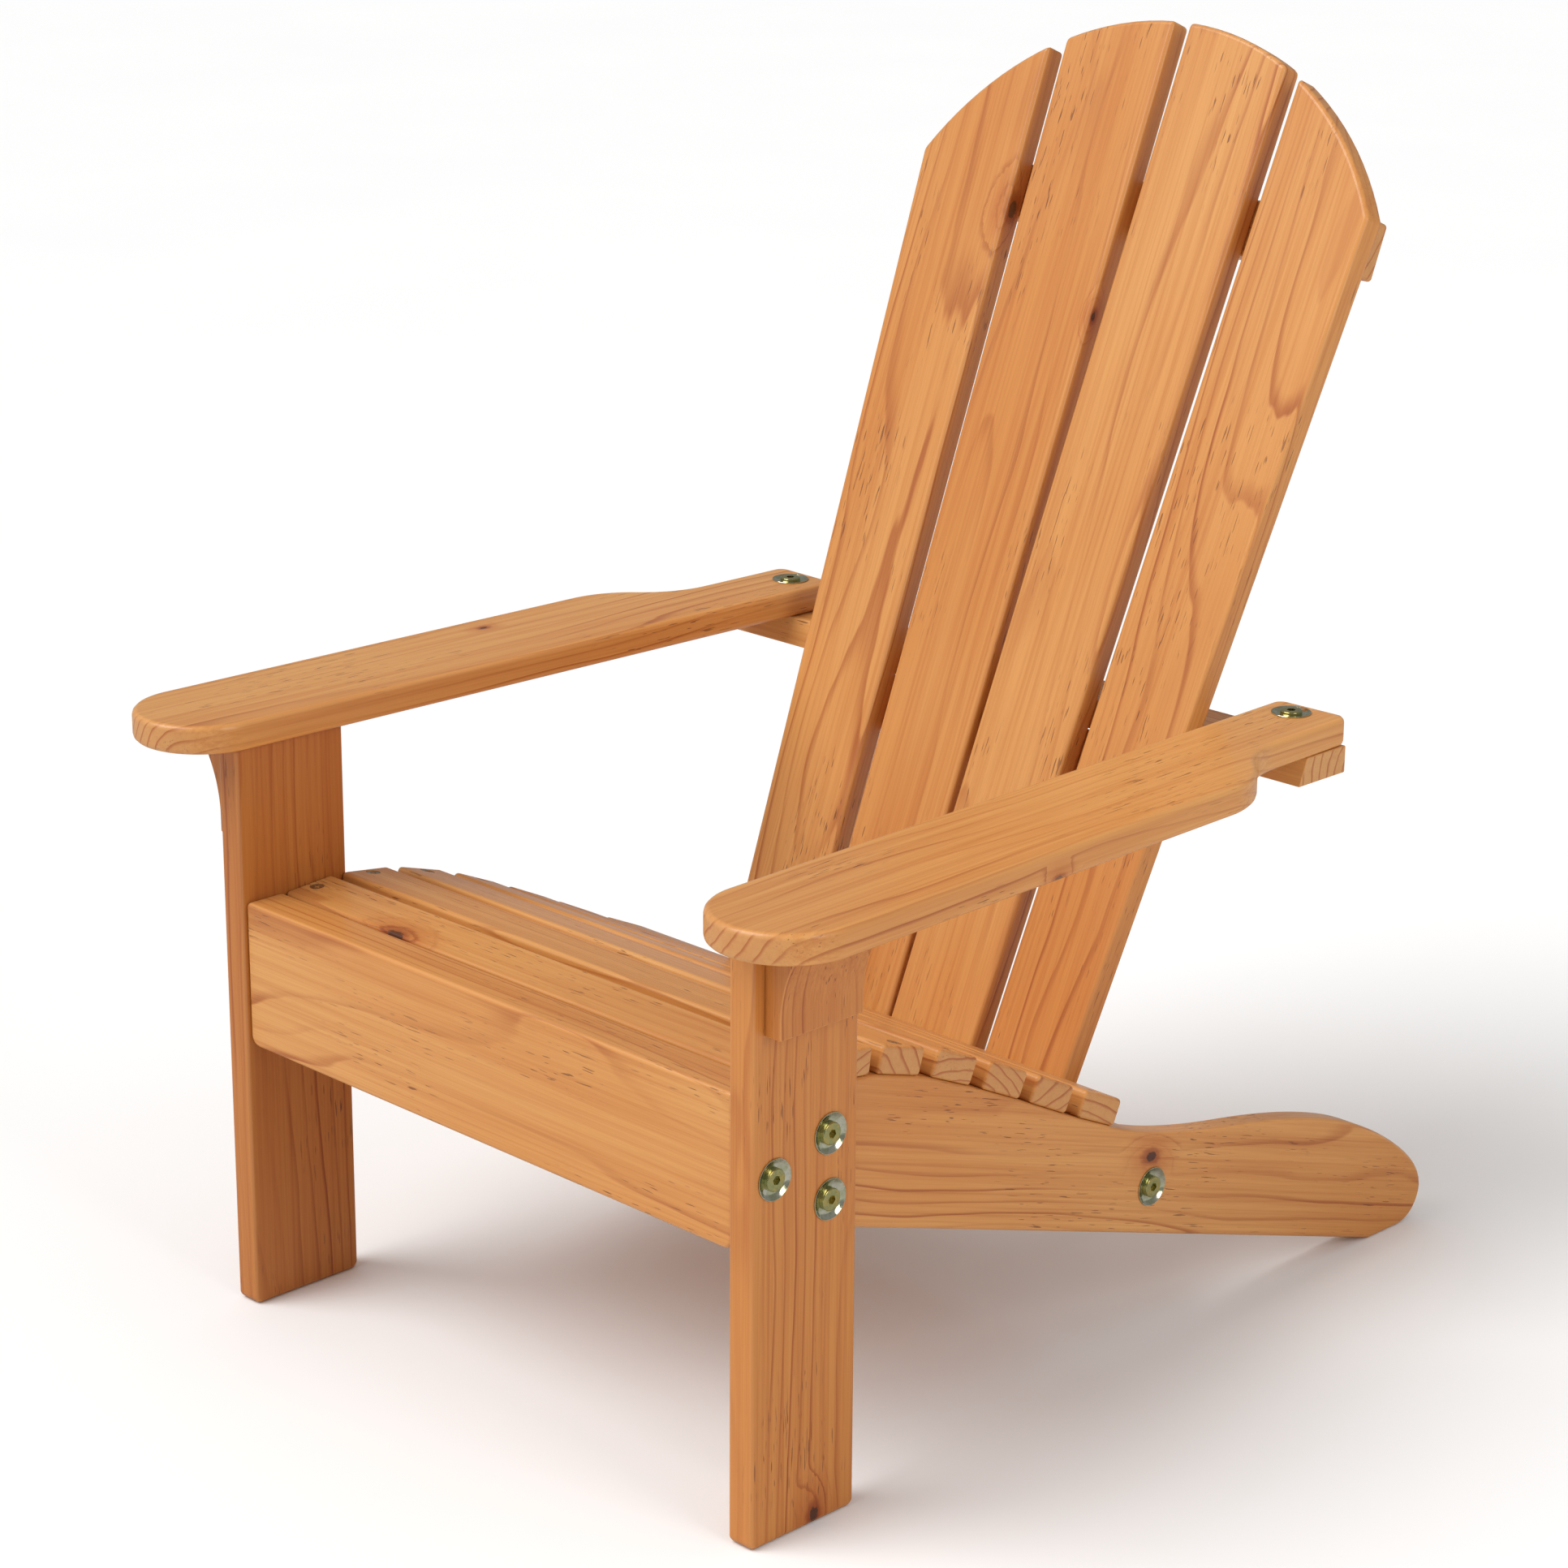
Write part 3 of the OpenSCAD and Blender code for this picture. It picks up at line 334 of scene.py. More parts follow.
def fastener_places(node):
    """For each bolt, screw or washer: its lowest and highest point on its axis, and the way out of the wood."""
    places = []
    for points, faces in islands(node):
        facing = {}
        for normal, area in faces:
            key = tuple(round(abs(c), 2) for c in normal)
            total = facing.setdefault(key, [0.0, Vector()])
            total[0] += area
            total[1] += normal * area if total[1].dot(normal) >= 0 else -normal * area
        way = max(facing.values(), key=lambda total: total[0])[1].normalized()
        middle = sum(points, Vector()) / len(points)
        span = [(p - middle).dot(way) for p in points]
        wide = [max((p - middle - way * s).length for p, s in zip(points, span) if abs(s - end) < 6e-4)
                for end in (min(span), max(span))]
        low, high = min(span), max(span)
        if wide[0] > wide[1]:
            way, low, high = -way, -high, -low
        places.append((middle + way * low, middle + way * high, way))
    return places


HOLLOW_REACH = 0.030
SCREW_HEAD_RADIUS = 0.0038
WASHER_HOLLOW_RADIUS = 0.0096
WASHER_EDGE = 0.0004


def cut_away(piece, holes):
    """Cuts round hollows out of a board; each hole is (middle of its floor, way out, radius)."""
    cutter = bmesh.new()
    for floor_middle, way, radius in holes:
        turn = way.to_track_quat("Z", "Y").to_matrix().to_4x4()
        spot = Matrix.Translation(floor_middle + way * HOLLOW_REACH / 2) @ turn
        bmesh.ops.create_cone(cutter, cap_ends=True, segments=32, radius1=radius, radius2=radius,
                              depth=HOLLOW_REACH, matrix=spot)
    mesh = bpy.data.meshes.new("hollows")
    cutter.to_mesh(mesh)
    cutter.free()
    tool = bpy.data.objects.new("hollows", mesh)
    bpy.context.scene.collection.objects.link(tool)
    cut = piece.modifiers.new("hollows", "BOOLEAN")
    cut.operation = "DIFFERENCE"
    cut.solver = "EXACT"
    cut.object = tool
    bored = bpy.data.meshes.new_from_object(piece.evaluated_get(bpy.context.evaluated_depsgraph_get()))
    piece.modifiers.remove(cut)
    piece.data = bored
    bpy.data.objects.remove(tool)


def screw_hollows(*nodes):
    """A shallow countersink above each screw's head."""
    return [(head - way * 0.0002, way, SCREW_HEAD_RADIUS) for node in nodes for _, head, way in fastener_places(node)]


def washer_hollows(node):
    """The hollows for the washers that are let into a board, hidden below the washers' rims."""
    low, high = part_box(node)
    hollows = []
    for floor_middle, _, way in fastener_places("dished_washers"):
        if all(low[i] - WASHER_EDGE < floor_middle[i] < high[i] + WASHER_EDGE for i in range(3)):
            hollows.append((floor_middle, way, WASHER_HOLLOW_RADIUS))
    return hollows


def finish_board(piece, slot, *nodes):
    piece.data.materials.clear()
    piece.data.materials.append(LACQUERED)
    smooth_over(piece)
    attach(piece, "root")
    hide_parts(*nodes)
    return piece


def sawn_board(node, through, edge, log, knot=NO_KNOT, tone=0.4, along=None, screws=()):
    """A board sawn to its CAD outline, with its edges rounded over by `edge` metres.

    The grain runs along the outline's longest straight side, unless `along` is given."""
    through = Vector(through).normalized()
    points, thickness = outline(node, through)
    if along is None:
        along = max((b - a for a, b in zip(points, points[1:] + points[:1])), key=lambda side: side.length)
    along = Vector(along).normalized()
    board = bmesh.new()
    upper = [board.verts.new(p) for p in points]
    lower = [board.verts.new(p - through * thickness) for p in points]
    board.faces.new(upper)
    board.faces.new(lower[::-1])
    for i in range(len(points)):
        board.faces.new((upper[i - 1], lower[i - 1], lower[i], upper[i]))
    bmesh.ops.recalc_face_normals(board, faces=board.faces)
    hard = [e for e in board.edges if e.calc_face_angle(0.0) > math.radians(28)]
    bmesh.ops.bevel(board, geom=hard, offset=edge, offset_type="OFFSET", segments=3, profile=0.5,
                    affect="EDGES", clamp_overlap=True)
    mesh = bpy.data.meshes.new(node + "_board")
    board.to_mesh(mesh)
    board.free()
    piece = bpy.data.objects.new(node + "_board", mesh)
    bpy.context.scene.collection.objects.link(piece)
    holes = washer_hollows(node) + screw_hollows(*screws)
    if holes:
        cut_away(piece, holes)
    low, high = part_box(node)
    across = along.cross(Vector(UP) if abs(along.dot(through)) > 0.5 else through).normalized()
    depth = across.cross(along)
    lay_figure(piece.data, [((low + high) / 2, across, along, depth, log, knot, tone)])
    return finish_board(piece, "softwood", node)


LEG_EDGE = 0.0022
# The legs take a darker tone than the other boards. The left leg's lower tone is partly painted shade: it darkens the
# whole board to stand in for the shade on its inner face, which the rest of the chair keeps from the lights.
sawn_board("left_front_leg", OUT, LEG_EDGE, (0.041, 1.30, 0.038), tone=-0.42)
sawn_board("right_front_leg", OUT, LEG_EDGE, (-0.052, 4.70, 0.030), knot=(0.189, -0.205, 0.004, 0.8), tone=-0.12)


# ---------------------------------------------------------------------------
# Stringers
# The two long side boards: sawn with flats for the seat slats, a hollow and a hump behind them,
# and a round toe on the floor. The grain runs along the straight lower edge.

sawn_board("left_stringer", OUT, LEG_EDGE, (0.030, 7.90, 0.047), tone=0.35)
sawn_board("right_stringer", OUT, LEG_EDGE, (-0.034, 9.60, 0.044), knot=(0.174, 0.047, 0.103, 0.75), tone=0.42)


# ---------------------------------------------------------------------------
# Front apron
# A thicker board between the legs, held at each end by a bolt and a barrel nut in its rear face.

sawn_board("front_apron", (0, -1, 0), LEG_EDGE, (0.018, 12.4, 0.061), tone=0.62)


# ---------------------------------------------------------------------------
# Seat slats, back braces and lower crossbar
# Straight planed boards of one section each, so one recipe makes them all: a box with a rounded
# edge, set on points that say where each board lies. Their screws sit in shallow countersinks.

def geometry_tree(name, sizes):
    """An empty Geometry Nodes tree; `sizes` is (name, kind, value) for each of its inputs."""
    tree = bpy.data.node_groups.new(name, "GeometryNodeTree")
    tree.interface.new_socket("Places", in_out="INPUT", socket_type="NodeSocketGeometry")
    for label, kind, value in sizes:
        socket = tree.interface.new_socket(label, in_out="INPUT", socket_type="NodeSocket" + kind)
        if value is not None:
            socket.default_value = value
    tree.interface.new_socket("Pieces", in_out="OUTPUT", socket_type="NodeSocketGeometry")
    return tree, tree.nodes.new("NodeGroupInput").outputs, tree.nodes.new("NodeGroupOutput")


def set_on_places(tree, given, out, shape):
    """Ends a tree: the shape on every place, facing its way, as one plain mesh with its finish."""
    facing = add(tree, "GeometryNodeInputNamedAttribute", {"Name": "facing"}, data_type="FLOAT_VECTOR")
    sideways = add(tree, "GeometryNodeInputNamedAttribute", {"Name": "sideways"}, data_type="FLOAT_VECTOR")
    turned = add(tree, "FunctionNodeAxesToRotation",
                 {"Primary Axis": facing.outputs[0], "Secondary Axis": sideways.outputs[0]},
                 primary_axis="Z", secondary_axis="X")
    number = add(tree, "GeometryNodeInputIndex")
    numbered = add(tree, "GeometryNodeStoreNamedAttribute",
                   {"Geometry": given["Places"], "Name": "board", "Value": number.outputs[0]},
                   data_type="INT", domain="POINT")
    placed = add(tree, "GeometryNodeInstanceOnPoints",
                 {"Points": numbered.outputs[0], "Instance": shape, "Rotation": turned.outputs[0]})
    real = add(tree, "GeometryNodeRealizeInstances", {"Geometry": placed.outputs[0]})
    dressed = add(tree, "GeometryNodeSetMaterial", {"Geometry": real.outputs[0], "Material": given["Finish"]})
    tree.links.new(dressed.outputs[0], out.inputs[0])


def planed_board_tree():
    """A box whose corners are rounded: each point is pushed out of a smaller box by the edge's radius."""
    tree, given, out = geometry_tree(
        "planed board",
        [("Length", "Float", 0.3), ("Width", "Float", 0.03), ("Thickness", "Float", 0.014),
         ("Edge Radius", "Float", 0.002), ("Finish", "Material", None)])
    cube = add(tree, "GeometryNodeMeshCube", {"Size": (2, 2, 2), "Vertices X": 8, "Vertices Y": 8, "Vertices Z": 8})
    position = add(tree, "GeometryNodeInputPosition").outputs[0]
    half = add(tree, "ShaderNodeCombineXYZ", {0: given["Length"], 1: given["Width"], 2: given["Thickness"]})
    half = add(tree, "ShaderNodeVectorMath", {0: half.outputs[0], 1: (0.5, 0.5, 0.5)}, operation="MULTIPLY")
    radius = add(tree, "ShaderNodeCombineXYZ", {i: given["Edge Radius"] for i in range(3)})
    core = add(tree, "ShaderNodeVectorMath", {0: half.outputs[0], 1: radius.outputs[0]}, operation="SUBTRACT")
    # The inner sevenths of the cube's grid stay on the flats and the outer steps share the rounding.
    size = add(tree, "ShaderNodeVectorMath", {0: position}, operation="ABSOLUTE")
    step = add(tree, "ShaderNodeVectorMath", {0: size.outputs[0], 1: (1 / 7,) * 3}, operation="SUBTRACT")
    step = add(tree, "ShaderNodeVectorMath", {0: step.outputs[0], 1: (0, 0, 0)}, operation="MAXIMUM")
    step = add(tree, "ShaderNodeVectorMath", {0: step.outputs[0], 1: (7 / 6,) * 3}, operation="MULTIPLY")
    sign = add(tree, "ShaderNodeVectorMath", {0: position}, operation="SIGN")
    push = add(tree, "ShaderNodeVectorMath", {0: step.outputs[0], 1: sign.outputs[0]}, operation="MULTIPLY")
    push = add(tree, "ShaderNodeVectorMath", {0: push.outputs[0]}, operation="NORMALIZE")
    push = add(tree, "ShaderNodeVectorMath", {0: push.outputs[0], 1: radius.outputs[0]}, operation="MULTIPLY")
    inner = add(tree, "ShaderNodeVectorMath", {0: sign.outputs[0], 1: core.outputs[0]}, operation="MULTIPLY")
    moved = add(tree, "ShaderNodeVectorMath", {0: inner.outputs[0], 1: push.outputs[0]}, operation="ADD")
    shaped = add(tree, "GeometryNodeSetPosition", {"Geometry": cube.outputs[0], "Position": moved.outputs[0]})
    set_on_places(tree, given, out, shaped.outputs[0])
    return tree


def grown(name, tree, places, sizes):
    """Runs a Geometry Nodes tree on places (point, facing, sideways) and keeps the result as a mesh."""
    points = bpy.data.meshes.new(name + "_places")
    points.from_pydata([place[0] for place in places], [], [])
    for label, part in (("facing", 1), ("sideways", 2)):
        stored = points.attributes.new(label, "FLOAT_VECTOR", "POINT")
        stored.data.foreach_set("vector", [c for place in places for c in place[part]])
    maker = bpy.data.objects.new(name, points)
    bpy.context.scene.collection.objects.link(maker)
    modifier = maker.modifiers.new("recipe", "NODES")
    modifier.node_group = tree
    sockets = {s.name: s.identifier for s in tree.interface.items_tree if s.in_out == "INPUT"}
    for label, value in sizes.items():
        modifier[sockets[label]] = value
    done = bpy.data.meshes.new_from_object(maker.evaluated_get(bpy.context.evaluated_depsgraph_get()))
    maker.modifiers.remove(modifier)
    maker.data = done
    bpy.data.meshes.remove(points)
    done.name = name
    return maker


PLANED_BOARD = planed_board_tree()


def planed_boards(name, nodes, edge, looks, screws):
    """Boards of one size in one piece; `looks` gives each board's (place in the log, knot, tone)."""
    places, boards = [], []
    for node, (log, knot, tone) in zip(nodes, looks):
        facing = broad_face(node)
        if facing.z + facing.y < 0:
            facing = -facing
        low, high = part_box(node)
        middle = (low + high) / 2
        side = Vector((1, 0, 0))
        across = facing.cross(side)
        points = [v.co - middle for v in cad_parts[node].data.vertices]
        size = [max(p.dot(way) for p in points) - min(p.dot(way) for p in points) for way in (side, across, facing)]
        places.append((middle, facing, side))
        boards.append((middle, across, side, facing, log, knot, tone))
    sizes = dict(zip(("Length", "Width", "Thickness"), size))
    piece = grown(name, PLANED_BOARD, places, {**sizes, "Edge Radius": edge, "Finish": LACQUERED})
    cut_away(piece, screw_hollows(*screws))
    lay_figure(piece.data, boards)
    return finish_board(piece, "softwood", *nodes)


SLATS = [f"seat_slat_{i}" for i in range(1, 8)]
SLAT_LOOKS = [
    ((0.012, 15.0, 0.031), (-0.088, -0.2183, 0.2175, 1.0), 0.60),
    ((-0.020, 16.3, 0.040), NO_KNOT, 0.55),
    ((0.028, 17.7, 0.036), NO_KNOT, 0.72),
    ((-0.008, 19.1, 0.048), NO_KNOT, 0.45),
    ((0.016, 20.6, 0.029), NO_KNOT, 0.60),
    ((-0.031, 21.9, 0.051), NO_KNOT, 0.38),
    ((0.005, 23.2, 0.043), NO_KNOT, 0.55),
]
planed_boards("seat_slats", SLATS, 0.0022, SLAT_LOOKS, ["seat_screws"])
planed_boards("lower_crossbar_board", ["lower_crossbar"], 0.0020, [((0.02, 25.0, 0.05), NO_KNOT, 0.4)],
              ["crossbar_screws"])


# ---------------------------------------------------------------------------
# Back slats
# Four tapering boards that fan out upwards and are cut to one round arch at the top.
# They are screwed from behind to the crossbar, the two braces and the support bar.

BACK = broad_face("back_slat_2")
BACK = BACK if BACK.y < 0 else -BACK
sawn_board("back_slat_1", BACK, 0.0026, (0.024, 27.2, 0.046), knot=(-0.0808, 0.2120, 0.5240, 0.9), tone=0.36)
sawn_board("back_slat_2", BACK, 0.0026, (-0.010, 29.5, 0.026), knot=(-0.0030, 0.1910, 0.4800, 0.5), tone=0.22)
sawn_board("back_slat_3", BACK, 0.0026, (0.016, 31.4, 0.036), tone=0.34)
sawn_board("back_slat_4", BACK, 0.0026, (-0.027, 33.8, 0.050), tone=0.26)
planed_boards("upper_back_brace_board", ["upper_back_brace"], 0.0020, [((0.01, 36.0, 0.04), NO_KNOT, 0.35)],
              ["upper_brace_screws"])
planed_boards("middle_back_brace_board", ["middle_back_brace"], 0.0008, [((-0.02, 37.5, 0.05), NO_KNOT, 0.35)],
              ["middle_brace_screws"])


# ---------------------------------------------------------------------------
# Support bar
# A flat bar under the rear ends of both arms, bevelled in front to lie against the back slats.

sawn_board("arm_support_bar", OUT, 0.0008, (0.030, 39.2, 0.006), along=OUT, tone=0.75,
           screws=["support_bar_screws"])


# ---------------------------------------------------------------------------
# Arms
# Wide flat boards with a half-round front end and a narrow tail behind an S-shaped step.
# They are dowelled to the legs, screwed from below through the brackets and bolted to the support bar.

sawn_board("left_arm", UP, 0.0030, (0.062, 41.7, 0.046), knot=(-0.218, -0.047, 0.3135, 0.45), tone=0.62)
sawn_board("right_arm", UP, 0.0030, (-0.066, 43.1, 0.048), knot=(0.236, -0.100, 0.300, 0.5), tone=0.50)


# ---------------------------------------------------------------------------
# Arm brackets
# Small blocks with a hollow curved face, glued and dowelled to the legs under the arms.
# Two screws go up through each into the arm, from deep countersinks in the curve; the blocks here are left whole,
# without those countersinks.

for node, log in (("left_arm_bracket", (0.01, 45.0, 0.04)), ("right_arm_bracket", (-0.02, 46.4, 0.05))):
    sawn_board(node, (0, -1, 0), 0.0016, log, tone=-0.25, along=UP)


# ---------------------------------------------------------------------------
# Dished washers and bolts
# Pressed steel cups, bright zinc with a faint yellow cast, below round-headed socket bolts in
# yellow zinc. One pair sits at each bolted joint; the bolts' shanks are hidden in the wood.

def worn_metal():
    """Colour drift of thin plating, fine scratches and dull spots."""
    group, given, out = new_group(
        "worn plating",
        [("Place", "Vector"), ("Plating", "Color"), ("Drift", "Color"), ("Roughness", "Float")],
        [("Color", "Color"), ("Roughness", "Float"), ("Height", "Float")])
    drift = stretched_noise(group, given["Place"], (240.0,) * 3, 2.0)
    dull = stretched_noise(group, given["Place"], (900.0,) * 3, 3.0)
    scratch = stretched_noise(group, given["Place"], (3600.0, 300.0, 3600.0), 2.0)
    colour = blend_colour(group, ramp(group, drift, 0.38, 0.62), given["Plating"], given["Drift"])
    colour = blend_colour(group, ramp(group, dull, 0.45, 0.75, 0.0, 0.35), colour, (0.5, 0.47, 0.42, 1), "MULTIPLY")
    group.links.new(colour, out.inputs["Color"])
    rough = sum_of(group, "ADD", given["Roughness"], ramp(group, dull, 0.3, 0.8, -0.05, 0.12))
    group.links.new(rough, out.inputs["Roughness"])
    group.links.new(scratch, out.inputs["Height"])
    return group


PLATING = worn_metal()


def plated(name, plating, drift, roughness):
    material = bpy.data.materials.new(name)
    material.use_nodes = True
    tree = material.node_tree
    tree.nodes.clear()
    place = add(tree, "ShaderNodeTexCoord").outputs["Object"]
    wear = add(tree, "ShaderNodeGroup", {}, node_tree=PLATING)
    tree.links.new(place, wear.inputs["Place"])
    wear.inputs["Plating"].default_value = plating
    wear.inputs["Drift"].default_value = drift
    wear.inputs["Roughness"].default_value = roughness
    bump = add(tree, "ShaderNodeBump", {"Height": wear.outputs["Height"], "Strength": 0.12, "Distance": 0.0001})
    surface = add(tree, "ShaderNodeBsdfPrincipled",
                  {"Base Color": wear.outputs["Color"], "Roughness": wear.outputs["Roughness"],
                   "Normal": bump.outputs[0], "Metallic": 1.0})
    out = add(tree, "ShaderNodeOutputMaterial")
    tree.links.new(surface.outputs[0], out.inputs["Surface"])
    return material


WASHER_ZINC = plated("bright zinc", (0.66, 0.65, 0.52, 1), (0.52, 0.54, 0.36, 1), 0.13)
YELLOW_ZINC = plated("yellow zinc", (0.56, 0.46, 0.16, 1), (0.44, 0.44, 0.20, 1), 0.20)
SCREW_ZINC = plated("dull zinc", (0.50, 0.46, 0.38, 1), (0.42, 0.36, 0.26, 1), 0.36)


def turned_tree(name, profile, socket_width=None):
    """A round part from its profile: (radius, height) points as shares of Diameter and Height."""
    tree, given, out = geometry_tree(
        name, [("Diameter", "Float", 0.02), ("Height", "Float", 0.003), ("Steps Round", "Int", 64),
               ("Finish", "Material", None)])
    columns = sum_of(tree, "ADD", given["Steps Round"], 1.0)
    grid = add(tree, "GeometryNodeMeshGrid", {"Vertices X": columns, "Vertices Y": len(profile)})
    number = add(tree, "GeometryNodeInputIndex").outputs[0]
    row = sum_of(tree, "MODULO", number, float(len(profile)))
    column = sum_of(tree, "FLOOR", sum_of(tree, "DIVIDE", number, float(len(profile))))
    pick = tree.nodes.new("GeometryNodeIndexSwitch")
    pick.data_type = "VECTOR"
    while len(pick.index_switch_items) < len(profile):
        pick.index_switch_items.new()
    for i, (radius, height) in enumerate(profile):
        pick.inputs[i + 1].default_value = (radius, 0.0, height)
    tree.links.new(row, pick.inputs[0])
    shape = add(tree, "ShaderNodeSeparateXYZ", {0: pick.outputs[0]}).outputs
    angle = sum_of(tree, "MULTIPLY", sum_of(tree, "DIVIDE", column, given["Steps Round"]), 2 * math.pi)
    radius = sum_of(tree, "MULTIPLY", shape[0], given["Diameter"])
    spot = add(tree, "ShaderNodeCombineXYZ",
               {0: sum_of(tree, "MULTIPLY", radius, sum_of(tree, "COSINE", angle)),
                1: sum_of(tree, "MULTIPLY", radius, sum_of(tree, "SINE", angle)),
                2: sum_of(tree, "MULTIPLY", shape[2], given["Height"])})
    lathe = add(tree, "GeometryNodeSetPosition", {"Geometry": grid.outputs[0], "Position": spot.outputs[0]})
    closed = add(tree, "GeometryNodeMergeByDistance", {"Geometry": lathe.outputs[0], "Distance": 1e-6}).outputs[0]
    if socket_width:
        across = sum_of(tree, "MULTIPLY", given["Diameter"], socket_width / 2 / math.cos(math.pi / 6))
        key = add(tree, "GeometryNodeMeshCylinder",
                  {"Vertices": 6, "Radius": across, "Depth": sum_of(tree, "MULTIPLY", given["Height"], 1.56)})
        lifted = add(tree, "GeometryNodeTransform",
                     {"Geometry": key.outputs[0],
                      "Translation": add(tree, "ShaderNodeCombineXYZ", {2: given["Height"]}).outputs[0]})
        bored = add(tree, "GeometryNodeMeshBoolean", {"Mesh 1": closed}, operation="DIFFERENCE", solver="EXACT")
        tree.links.new(lifted.outputs[0], bored.inputs["Mesh 2"])
        closed = bored.outputs[0]
    set_on_places(tree, given, out, closed)
    return tree


def sideways_of(way):
    return way.orthogonal().normalized()


def turned(name, tree, places, sizes, slot, *nodes):
    piece = grown(name, tree, places, sizes)
    solid = bmesh.new()
    solid.from_mesh(piece.data)
    bmesh.ops.recalc_face_normals(solid, faces=solid.faces)
    solid.to_mesh(piece.data)
    solid.free()
    smooth_over(piece, 34)
    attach(piece, "root")
    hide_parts(*nodes)
    return piece


# Radius as a share of the 20 mm across, height as a share of the 2.6 mm from floor to rim.
WASHER_PROFILE = [
    (0.1625, 0.0), (0.300, 0.0), (0.350, 0.05), (0.409, 0.17), (0.455, 0.43), (0.490, 0.74), (0.500, 0.88),
    (0.4995, 0.95), (0.4940, 1.00), (0.4860, 1.00), (0.4790, 0.96), (0.450, 0.79), (0.415, 0.58), (0.380, 0.44),
    (0.345, 0.365), (0.310, 0.346), (0.1625, 0.346), (0.1625, 0.0)]
# Radius as a share of the 11 mm head, height as a share of the whole head with its shank stub below.
HEAD_PROFILE = [
    (0.0, -0.28), (0.270, -0.28), (0.270, 0.0), (0.490, 0.0), (0.500, 0.04), (0.500, 0.74), (0.496, 0.84),
    (0.484, 0.92), (0.464, 0.975), (0.435, 1.0), (0.290, 1.0), (0.265, 0.985), (0.0, 0.985)]
washer_spots = fastener_places("dished_washers")
seats = [(low, way, sideways_of(way)) for low, _, way in washer_spots]
turned("dished_washer_cups", turned_tree("dished washer", WASHER_PROFILE), seats,
       {"Diameter": 0.020, "Height": 0.0026, "Steps Round": 96, "Finish": WASHER_ZINC},
       "washer_steel", "dished_washers")
SHEET = 0.0009
heads = [(low + way * SHEET, way, sideways_of(way)) for low, _, way in washer_spots]
turned("socket_bolt_heads", turned_tree("socket bolt head", HEAD_PROFILE, socket_width=4 / 11), heads,
       {"Diameter": 0.011, "Height": 0.0026, "Steps Round": 64, "Finish": YELLOW_ZINC},
       "yellow_zinc", "apron_bolts", "stringer_bolts", "crossbar_bolts", "arm_bolts")


# ---------------------------------------------------------------------------
# Nuts, wood screws and dowels
# Plated steel nuts and cross-recess screws, and hardwood dowels glued into both boards.
# Their CAD shapes are already right, and most of them are out of sight, so only the finish is new.

def bare_hardwood():
    material = bpy.data.materials.new("dowel hardwood")
    material.use_nodes = True
    tree = material.node_tree
    surface = tree.nodes["Principled BSDF"]
    place = add(tree, "ShaderNodeTexCoord").outputs["Object"]
    fibre = stretched_noise(tree, place, (1400.0, 1400.0, 60.0), 3.0)
    colour = blend_colour(tree, ramp(tree, fibre, 0.35, 0.7), (0.52, 0.36, 0.20, 1), (0.36, 0.22, 0.11, 1))
    bump = add(tree, "ShaderNodeBump", {"Height": fibre, "Strength": 0.4, "Distance": 0.0002})
    tree.links.new(colour, surface.inputs["Base Color"])
    tree.links.new(ramp(tree, fibre, 0.3, 0.7, 0.55, 0.75), surface.inputs["Roughness"])
    tree.links.new(bump.outputs[0], surface.inputs["Normal"])
    return material


DOWEL = bare_hardwood()
KEPT = {
    SCREW_ZINC: ["seat_screws", "upper_brace_screws", "middle_brace_screws", "crossbar_screws",
                 "support_bar_screws", "bracket_screws", "apron_barrel_nuts", "crossbar_barrel_nuts"],
    YELLOW_ZINC: ["stringer_insert_nuts", "arm_insert_nuts"],
    DOWEL: ["arm_dowels", "bracket_dowels"],
}
for material, nodes in KEPT.items():
    for node in nodes:
        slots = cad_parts[node].material_slots
        for held in slots:
            held.material = material


# ---------------------------------------------------------------------------
# Floor, light and camera
# A plain white floor that fades into a white surround, one broad soft lamp over the left front,
# a weaker one on the right, and a long lens.

def floor():
    """Plain pale studio floor; it looks darker in polished metal, so that the metal keeps its modelling."""
    material = bpy.data.materials.new("floor")
    material.use_nodes = True
    tree = material.node_tree
    surface = tree.nodes["Principled BSDF"]
    place = add(tree, "ShaderNodeTexCoord").outputs["Object"]
    grain = stretched_noise(tree, place, (3.0, 3.0, 3.0), 2.0)
    colour = blend_colour(tree, grain, (0.93, 0.93, 0.925, 1), (0.90, 0.90, 0.90, 1))
    mirrored = add(tree, "ShaderNodeLightPath").outputs["Is Glossy Ray"]
    colour = blend_colour(tree, mirrored, colour, (0.46, 0.46, 0.46, 1))
    tree.links.new(colour, surface.inputs["Base Color"])
    surface.inputs["Roughness"].default_value = 0.9
    surface.inputs["Specular IOR Level"].default_value = 0.1
    mesh = bpy.data.meshes.new("floor")
    mesh.from_pydata([(-30, -30, 0), (30, -30, 0), (30, 30, 0), (-30, 30, 0)], [], [(0, 1, 2, 3)])
    mesh.materials.append(material)
    ground = bpy.data.objects.new("floor", mesh)
    ground.location.z = -0.0002
    bpy.context.scene.collection.objects.link(ground)


def lamp(name, place, aim, size, watts, colour=(1, 1, 1)):
    light = bpy.data.lights.new(name, "AREA")
    light.shape = "RECTANGLE"
    light.size, light.size_y = size
    light.energy = watts
    light.color = colour
    thing = bpy.data.objects.new(name, light)
    thing.location = place
    thing.rotation_euler = (Vector(aim) - Vector(place)).to_track_quat("-Z", "Y").to_euler()
    bpy.context.scene.collection.objects.link(thing)


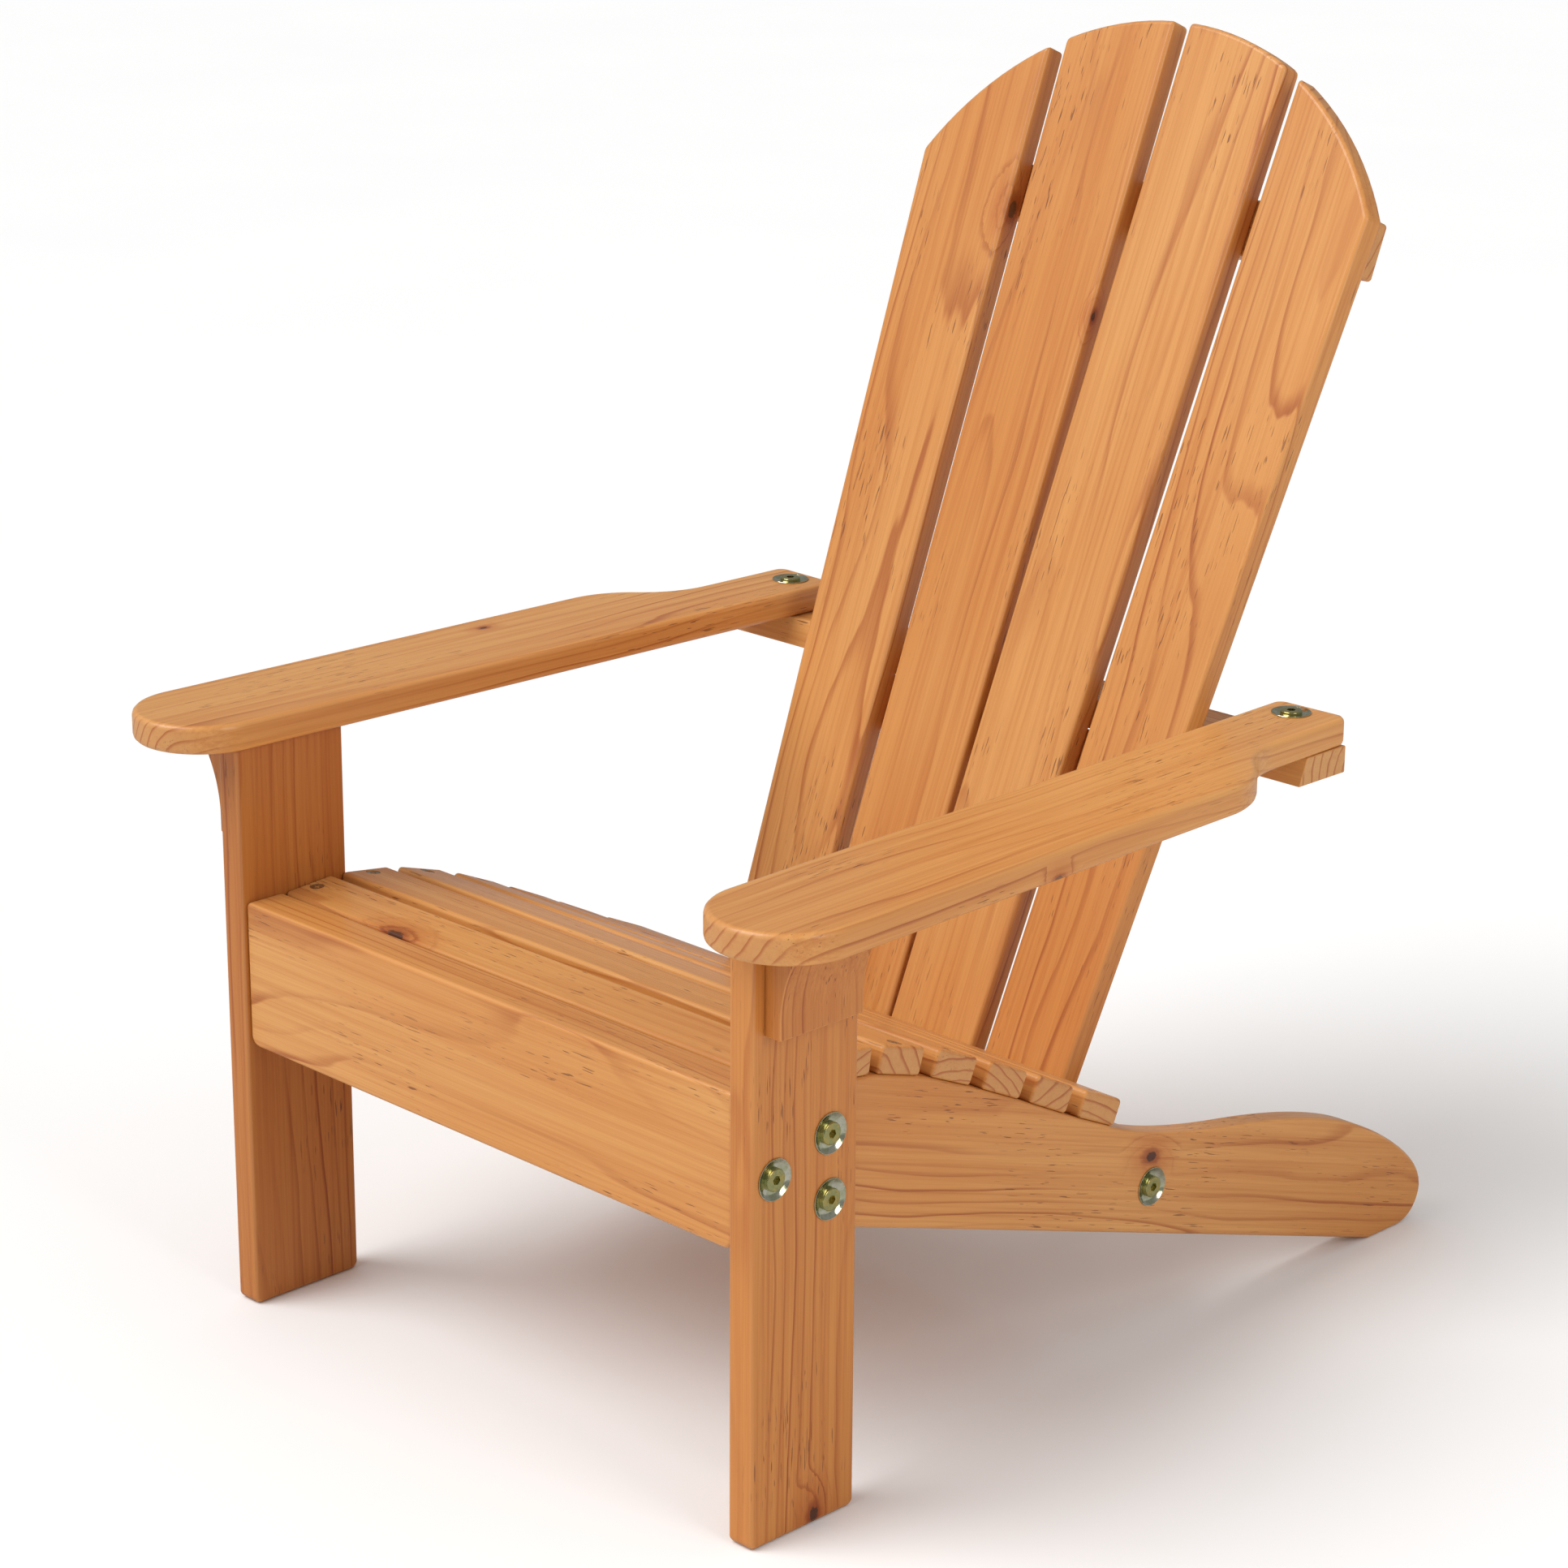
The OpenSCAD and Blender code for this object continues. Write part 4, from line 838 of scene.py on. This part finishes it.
def sun(name, toward, strength, softness):
    """A broad even light from a direction, so that the whole floor is as bright as the middle."""
    light = bpy.data.lights.new(name, "SUN")
    light.energy = strength
    light.angle = softness
    thing = bpy.data.objects.new(name, light)
    thing.rotation_euler = Vector(toward).to_track_quat("Z", "Y").to_euler()
    bpy.context.scene.collection.objects.link(thing)


def surround(strength, mirrored, seen):
    """Even white light: brightest where the camera sees it, and dimmer in reflections than on the wood."""
    world = bpy.data.worlds.new("surround")
    bpy.context.scene.world = world
    world.use_nodes = True
    tree = world.node_tree
    background = tree.nodes["Background"]
    background.inputs["Color"].default_value = (1, 1, 1, 1)
    ray = add(tree, "ShaderNodeLightPath").outputs
    level = add(tree, "ShaderNodeMapRange", {"Value": ray["Is Glossy Ray"], "To Min": strength, "To Max": mirrored})
    level = add(tree, "ShaderNodeMapRange",
                {"Value": ray["Is Camera Ray"], "To Min": level.outputs[0], "To Max": seen})
    tree.links.new(level.outputs[0], background.inputs["Strength"])


floor()
surround(0.53, 0.27, 1.14)
sun("key", (-0.30, -0.56, 0.77), 2.30, math.radians(44))
lamp("fill", (2.5, -0.2, 1.45), (0, 0, 0.3), (1.0, 1.6), 16)

lens = bpy.data.cameras.new("camera")
lens.sensor_width = 36.0
lens.lens = 92.14
lens.clip_start, lens.clip_end = 0.05, 100.0
camera = bpy.data.objects.new("camera", lens)
yaw, pitch, roll = math.radians(45.111), math.radians(-17.912), math.radians(0.334)
ahead = Vector((-math.sin(yaw) * math.cos(pitch), math.cos(yaw) * math.cos(pitch), math.sin(pitch)))
level = Vector((math.cos(yaw), math.sin(yaw), 0.0))
upward = level.cross(ahead)
right = level * math.cos(roll) + upward * math.sin(roll)
upward = upward * math.cos(roll) - level * math.sin(roll)
turn = Matrix((right, upward, -ahead)).transposed().to_4x4()
camera.matrix_world = Matrix.Translation((1.3483, -1.3817, 0.8910)) @ turn
bpy.context.scene.collection.objects.link(camera)
bpy.context.scene.camera = camera
bpy.context.scene.view_settings.view_transform = "Standard"
